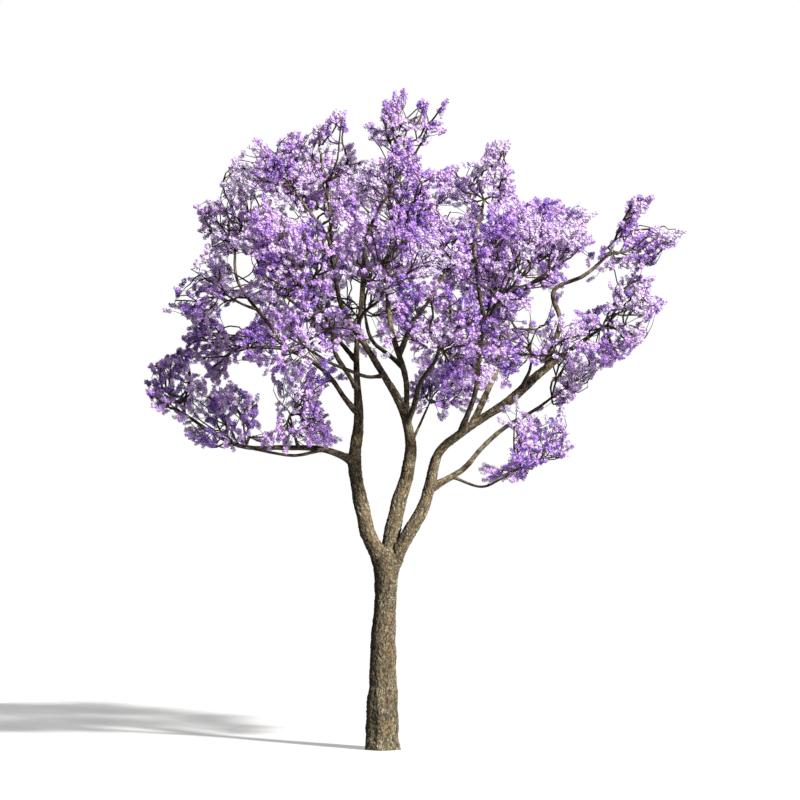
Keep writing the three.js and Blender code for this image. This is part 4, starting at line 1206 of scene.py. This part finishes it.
def flowers_on(sprays, sizes, draw):
    """Foot, direction and size of each flower on a list of panicles, in a spiral round
    each stalk with the last one on its end. Side stalks carry three for every four."""
    feet, axes, scales = [], [], []
    for _, point, axis, length, last in sprays:
        side = unit(np.cross(axis, [0.3, 0.5, 0.81]))
        other = np.cross(axis, side)
        start = draw() * FULL_TURN
        count = sizes.flowers if last else sizes.flowers * 3 // 4
        for k in range(count):
            share = FLOWERS_FROM + (1 - FLOWERS_FROM) * k / max(1, count - 1)
            angle = start + GOLDEN_ANGLE * k
            spread = END_OUT if k == count - 1 else 1.0
            out = side * math.cos(angle) + other * math.sin(angle)
            way = axis * (FLOWER_ALONG + ALONG_SPREAD * draw()) + out * spread
            way = way + np.array([0, 0, -FLOWER_DROOP])
            feet.append(point + axis * length * share)
            axes.append(unit(way))
            scales.append(SMALLEST_FLOWER + FLOWER_SPREAD * draw())
    return np.array(feet), np.array(axes), np.array(scales)


def tone_and_painted_light(point, depth, chance):
    """How light a spray is: painted light high in the crown and far out in a mass,
    painted shade deep inside it, and a tone that differs from patch to patch."""
    patch = noise.noise(Vector(point) / PATCH_SIZE + Vector((3, 9, 1)))
    value = TONE_MIDDLE + PAINTED_LIGHT_HEIGHT * (point[2] - MIDDLE_HEIGHT)
    value += PAINTED_SHADE_DEPTH * (depth - MIDDLE_DEPTH)
    return value + TONE_PATCH * patch + TONE_CHANCE * (chance - 0.5)


def make_blossom(sizes, colours):
    """All flowers, dealt by spray into one piece for each tone."""
    points, petal, faces = flower_shape(sizes.flower)
    soups = [Soup() for _ in TONES]
    masses = tree()["masses"]
    for mass in masses:
        draw = seeded(FINE_SEED * 3 + mass.row)
        dealt = [[] for _ in TONES]
        for spray in mass.sprays:
            # the tone holds painted light and shade by height and depth, and a random patch tone
            value = tone_and_painted_light(spray[1], mass.depth(spray[1]), draw())
            dealt[int(np.searchsorted(TONE_STEPS, value))].append(spray)
        thick = mass.points[mass.load > THICK_LOAD]
        for soup, sprays in zip(soups, dealt):
            if not sprays:
                continue
            feet, axes, scales = flowers_on(sprays, sizes, draw)
            mouths = feet + axes * sizes.flower * FLOWER_LENGTH
            fits = mass.holds(mouths, ANY_DEPTH, MOUTH_MARGIN) & mass.clear(mouths, LIMB_ROOM)
            fits &= np.linalg.norm(mouths[:, None] - thick, axis=2).min(axis=1) > TWIG_ROOM
            feet, axes, scales = feet[fits], axes[fits], scales[fits]
            side = unit(np.cross(axes, [0.81, 0.3, 0.5]))
            other = np.cross(axes, side)
            turned = (points[:, 0:1] * side[:, None] + points[:, 1:2] * other[:, None]
                      + points[:, 2:3] * axes[:, None])
            made = feet[:, None] + turned * scales[:, None, None]
            steps = np.arange(len(feet))[:, None, None] * len(points)
            soup.add(made.reshape(-1, 3), (faces + steps).reshape(-1, 3))
    for tone, soup in zip(TONES, soups):
        mesh = soup.mesh(f"blossom_{tone}")
        store(mesh, "petal", np.tile(petal, len(mesh.vertices) // len(petal)))
        material = blossom_material(tone, getattr(colours, tone))
        piece(f"blossom_{tone}", mesh, material, [mass.name for mass in masses])


# Materials

def feed(graph, node, inputs):
    """Gives each input of a node its value, or links the output that it is fed by."""
    for key, value in inputs.items():
        if isinstance(value, bpy.types.NodeSocket):
            graph.links.new(value, node.inputs[key])
        else:
            node.inputs[key].default_value = value


def add_node(graph, kind, inputs, **settings):
    """Adds a node with its settings and inputs to a node graph."""
    node = graph.nodes.new(kind)
    for key, value in settings.items():
        setattr(node, key, value)
    feed(graph, node, inputs)
    return node


def spread(graph, source, low, high, to_low=0.0, to_high=1.0):
    """A value moved from one range to another, and kept within it."""
    inputs = {0: source, 1: low, 2: high, 3: to_low, 4: to_high}
    return add_node(graph, "ShaderNodeMapRange", inputs).outputs[0]


def mixed(graph, share, first, second, way="MIX"):
    """A mix of two colours."""
    inputs = {"Factor": share, 6: first, 7: second}
    return add_node(graph, "ShaderNodeMix", inputs, data_type="RGBA", blend_type=way).outputs[2]


def maths(graph, operation, first, second):
    """The sum or product of two values."""
    return add_node(graph, "ShaderNodeMath", {0: first, 1: second}, operation=operation).outputs[0]


def clouds(graph, source, **inputs):
    """The outputs of a noise texture over a place."""
    return add_node(graph, "ShaderNodeTexNoise", {"Vector": source, **inputs}).outputs


def stored(graph, name):
    """The outputs of what was stored on the mesh."""
    return add_node(graph, "ShaderNodeAttribute", {}, attribute_name=name).outputs


def rgba(colour, share=1.0):
    """A colour, or a share of it, with no transparency."""
    return (*(min(1, share * part) for part in colour), 1.0)


def bark_group():
    """Node group for bark: plates and furrows along the grain, weathered patches and pale
    flecks. It reads where a point lies on its bough and how deep in a furrow, and darkens
    the deep furrows, cracks and pits: partly darker bark, partly painted shade."""
    if "Bark grain" in bpy.data.node_groups:
        return bpy.data.node_groups["Bark grain"]
    group = bpy.data.node_groups.new("Bark grain", "ShaderNodeTree")
    sockets = {
        "INPUT": {"Place": "Vector", "Relief": "Float", "Fineness": "Float", "Furrow": "Color",
                  "Bark": "Color", "Crest": "Color", "Warm": "Color"},
        "OUTPUT": {"Color": "Color", "Roughness": "Float", "Height": "Float"},
    }
    for way, kinds in sockets.items():
        for name, kind in kinds.items():
            group.interface.new_socket(name=name, in_out=way, socket_type=f"NodeSocket{kind}")
    given = add_node(group, "NodeGroupInput", {}).outputs
    fine = add_node(group, "ShaderNodeVectorMath",
                    {0: given["Place"], "Scale": given["Fineness"]}, operation="SCALE").outputs[0]
    grain = add_node(group, "ShaderNodeVectorMath",
                     {0: fine, 1: (1, 1, 0.4)}, operation="MULTIPLY").outputs[0]
    fibre = clouds(group, grain, Scale=24, Detail=6, Roughness=0.75)["Fac"]
    patch = clouds(group, fine, Scale=3.2, Detail=5, Roughness=0.62)
    flecks = clouds(group, fine, Scale=34, Detail=2, Roughness=0.6)["Fac"]
    pits = clouds(group, grain, Scale=28, Detail=2, Roughness=0.6, Distortion=0.6)["Fac"]
    bend = add_node(group, "ShaderNodeVectorMath",
                    {0: patch["Color"], "Scale": 0.05}, operation="SCALE").outputs[0]
    bent = add_node(group, "ShaderNodeVectorMath", {0: grain, 1: bend}, operation="ADD").outputs[0]
    cracks = add_node(group, "ShaderNodeTexVoronoi",
                      {"Vector": bent, "Scale": 34}, feature="DISTANCE_TO_EDGE")

    cracks = spread(group, cracks.outputs["Distance"], 0.0, 0.16)
    relief = spread(group, given["Relief"], -0.75, 0.15)
    warm = spread(group, patch["Fac"], 0.50, 0.66)
    grey = spread(group, patch["Fac"], 0.56, 0.40, 0.25, 1.0)
    crest = maths(group, "MULTIPLY", spread(group, fibre, 0.46, 0.66), grey)
    fleck = maths(group, "MULTIPLY", spread(group, flecks, 0.56, 0.64),
                  spread(group, grey, 0, 1, 0.35, 0.95))
    # tone and painted shade: the furrow colour goes in where the relief is deep, at cracks and in
    # pits
    tone_and_painted_shade = maths(group, "ADD", maths(group, "MULTIPLY", cracks, 0.3), 0.7)
    tone_and_painted_shade = maths(group, "MULTIPLY", relief, tone_and_painted_shade)
    tone_and_painted_shade = maths(group, "MULTIPLY", tone_and_painted_shade, spread(group, pits, 0.40, 0.50, 0.08, 1.0))
    colour = mixed(group, warm, given["Bark"], given["Warm"])
    colour = mixed(group, maths(group, "MULTIPLY", crest, 0.8), colour, given["Crest"])
    colour = mixed(group, fleck, colour, given["Crest"])
    fibre = maths(group, "MULTIPLY", spread(group, fibre, 0.30, 0.72), 0.5)
    add_node(group, "NodeGroupOutput", {
        "Color": mixed(group, tone_and_painted_shade, given["Furrow"], colour),
        "Roughness": spread(group, tone_and_painted_shade, 0, 1, 1.0, 0.82),
        "Height": maths(group, "ADD", fibre, maths(group, "MULTIPLY", cracks, 0.5))})
    return group


def bark_material(name, colours, fineness, light=1.0):
    """Rough bark: darker and smoother on thin wood, with painted shade on the side that faces away
    from the sun.
    """
    material = bpy.data.materials.new(name)
    material.use_nodes = True
    graph = material.node_tree
    girth = stored(graph, "girth")["Fac"]
    old = spread(graph, girth, 0.022, 0.075)
    bark, crest, warm = (
        mixed(graph, old, rgba(colours.bark_young, light * share), rgba(grown))
        for share, grown in ((1, colours.bark_middle), (3.4, colours.bark_light),
                             (1.8, colours.bark_warm)))
    grain = add_node(graph, "ShaderNodeGroup", {}, node_tree=bark_group())
    feed(graph, grain, {
        "Place": stored(graph, "bark_place")["Vector"], "Relief": stored(graph, "relief")["Fac"],
        "Fineness": fineness, "Furrow": rgba(colours.bark_dark), "Bark": bark, "Crest": crest,
        "Warm": warm})
    thick = spread(graph, girth, 0.13, 0.19, 1.0, 0.80)
    # painted shade: bark that faces away from the sun is darkened to a little over a third
    damp = spread(graph, stored(graph, "damp")["Fac"], 0.0, 0.50, 1.0, 0.36)
    tone_and_painted_shade = maths(graph, "MULTIPLY", thick, damp)
    bump = add_node(graph, "ShaderNodeBump", {
        "Strength": 0.8, "Distance": 0.006, "Height": grain.outputs["Height"]})
    feed(graph, graph.nodes["Principled BSDF"], {
        "Base Color": mixed(graph, 1.0, grain.outputs["Color"], tone_and_painted_shade, "MULTIPLY"),
        "Roughness": grain.outputs["Roughness"], "Specular IOR Level": 0.25,
        "Normal": bump.outputs["Normal"]})
    return material


def blossom_material(tone, colour):
    """Soft petals of one tone, a little paler down the throat, with fine mottling."""
    material = bpy.data.materials.new(f"petals_{tone}")
    material.use_nodes = True
    graph = material.node_tree
    surface = graph.nodes["Principled BSDF"]
    place = add_node(graph, "ShaderNodeTexCoord", {}).outputs["Object"]
    mottle = clouds(graph, place, Scale=38, Detail=3)["Fac"]
    veins = mixed(graph, mottle, rgba(colour, 0.86), rgba(colour, 1.12))
    reach = spread(graph, stored(graph, "petal")["Fac"], 0.2, 0.8)
    throat = mixed(graph, reach, rgba([part + 0.20 * (1 - part) for part in colour]), veins)
    bump = add_node(graph, "ShaderNodeBump", {"Strength": 0.25, "Distance": 0.003, "Height": mottle})
    feed(graph, surface, {
        "Base Color": throat, "Roughness": 0.62, "Specular IOR Level": 0.2, "Sheen Weight": 0.15,
        "Normal": bump.outputs["Normal"]})
    through = add_node(graph, "ShaderNodeBsdfTranslucent", {"Color": throat})
    both = add_node(graph, "ShaderNodeMixShader", {
        "Fac": THIN_PETALS, 1: surface.outputs[0], 2: through.outputs[0]})
    feed(graph, graph.nodes["Material Output"], {"Surface": both.outputs[0]})
    return material


# Stage

def make_floor(settings):
    """Round pale floor round the tree."""
    shape = bmesh.new()
    bmesh.ops.create_circle(shape, cap_ends=True, radius=settings.floor_radius, segments=FLOOR_SIDES)
    mesh = bpy.data.meshes.new("floor")
    shape.to_mesh(mesh)
    shape.free()
    floor = placed("floor", mesh)
    floor.location.z = -FLOOR_DROP
    material = bpy.data.materials.new("pale_floor")
    material.use_nodes = True
    feed(material.node_tree, material.node_tree.nodes["Principled BSDF"], {
        "Base Color": rgba(FLOOR_GREY), "Roughness": 0.9, "Emission Color": rgba(WHITE),
        "Emission Strength": FLOOR_GLOW})
    mesh.materials.append(material)
    floor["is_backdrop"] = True


def make_light(settings):
    """One soft main light from the right and an even white fill."""
    light = bpy.data.lights.new("main_light", "SUN")
    light.energy = settings.sun_strength
    light.angle = settings.sun_size
    light.color = SUN_TINT
    lamp = placed("main_light", light)
    level = math.cos(settings.sun_height)
    towards = Vector((level * math.cos(settings.sun_side), -level * math.sin(settings.sun_side),
                      math.sin(settings.sun_height)))
    lamp.rotation_euler = towards.to_track_quat("Z", "Y").to_euler()

    world = bpy.context.scene.world or bpy.data.worlds.new("studio")
    bpy.context.scene.world = world
    world.use_nodes = True
    studio = world.node_tree
    studio.nodes.clear()
    seen = add_node(studio, "ShaderNodeBackground", {"Color": rgba(WHITE), "Strength": 1.0})
    lit = add_node(studio, "ShaderNodeBackground", {
        "Color": rgba(FILL_TINT), "Strength": settings.fill})
    rays = add_node(studio, "ShaderNodeLightPath", {})
    mix = add_node(studio, "ShaderNodeMixShader", {
        0: rays.outputs["Is Camera Ray"], 1: lit.outputs[0], 2: seen.outputs[0]})
    add_node(studio, "ShaderNodeOutputWorld", {"Surface": mix.outputs[0]})


def make_camera(settings):
    """Level camera far in front of the tree, as the photograph was framed."""
    camera = bpy.data.cameras.new("camera")
    camera.lens = camera.sensor_width * settings.camera_distance / settings.frame_width
    camera.clip_end = VIEW_END
    made = placed("camera", camera)
    made.location = (settings.camera_side, -settings.camera_distance, settings.camera_height)
    made.rotation_euler = (math.pi / 2, 0, 0)
    bpy.context.scene.camera = made
    bpy.context.scene.view_settings.view_transform = "Standard"


# Operators

class JACARANDA_OT_trunk(bpy.types.Operator):
    """Make the trunk and its three limbs with furrowed bark"""

    bl_idname = "jacaranda.trunk"
    bl_label = "Trunk and Limbs"

    def execute(self, context):
        make_trunk(context.scene.jacaranda_sizes, context.scene.jacaranda_colours)
        return {"FINISHED"}


class JACARANDA_OT_boughs(bpy.types.Operator):
    """Make the side boughs with their collars"""

    bl_idname = "jacaranda.boughs"
    bl_label = "Boughs"

    def execute(self, context):
        make_boughs(context.scene.jacaranda_sizes, context.scene.jacaranda_colours)
        return {"FINISHED"}


class JACARANDA_OT_twigs(bpy.types.Operator):
    """Grow the twigs and the stalks of the blossom"""

    bl_idname = "jacaranda.twigs"
    bl_label = "Twigs"

    def execute(self, context):
        make_twigs(context.scene.jacaranda_sizes, context.scene.jacaranda_colours)
        return {"FINISHED"}


class JACARANDA_OT_blossom(bpy.types.Operator):
    """Set the flowers on their stalks, dealt by spray into five tones"""

    bl_idname = "jacaranda.blossom"
    bl_label = "Blossom"

    def execute(self, context):
        make_blossom(context.scene.jacaranda_sizes, context.scene.jacaranda_colours)
        return {"FINISHED"}


class JACARANDA_OT_stage(bpy.types.Operator):
    """Make the floor, the light and the camera"""

    bl_idname = "jacaranda.stage"
    bl_label = "Stage"

    def execute(self, context):
        settings = context.scene.jacaranda_stage
        make_floor(settings)
        make_light(settings)
        make_camera(settings)
        return {"FINISHED"}


class JACARANDA_PT_tree(bpy.types.Panel):
    """Sizes, colours and steps of the jacaranda"""

    bl_label = "Jacaranda"
    bl_idname = "JACARANDA_PT_tree"
    bl_space_type = "VIEW_3D"
    bl_region_type = "UI"
    bl_category = "Jacaranda"

    def draw(self, context):
        for group in PROPERTIES:
            settings = getattr(context.scene, group)
            box = self.layout.box()
            for name in settings.bl_rna.properties.keys():
                if name not in ("rna_type", "name"):
                    box.prop(settings, name)
        for operator in OPERATORS:
            self.layout.operator(operator.bl_idname)


PROPERTIES = {
    "jacaranda_sizes": JacarandaSizes,
    "jacaranda_colours": JacarandaColours,
    "jacaranda_stage": JacarandaStage,
}
OPERATORS = (
    JACARANDA_OT_trunk, JACARANDA_OT_boughs, JACARANDA_OT_twigs, JACARANDA_OT_blossom,
    JACARANDA_OT_stage,
)
CLASSES = (*PROPERTIES.values(), *OPERATORS, JACARANDA_PT_tree)


def register():
    """Adds the settings, the operators and the panel."""
    for item in CLASSES:
        bpy.utils.register_class(item)
    for name, group in PROPERTIES.items():
        setattr(bpy.types.Scene, name, PointerProperty(type=group))


def unregister():
    """Takes them away again."""
    for name in PROPERTIES:
        delattr(bpy.types.Scene, name)
    for item in reversed(CLASSES):
        bpy.utils.unregister_class(item)


def main():
    """Makes the whole tree and its stage."""
    register()
    bpy.ops.jacaranda.trunk()
    bpy.ops.jacaranda.boughs()
    bpy.ops.jacaranda.twigs()
    bpy.ops.jacaranda.blossom()
    bpy.ops.jacaranda.stage()
    boxes = {"cad": CAD_BOX, "visual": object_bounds()}
    {name: [list(corner) for corner in box] for name, box in boxes.items()}


if __name__ == "__main__":
    main()
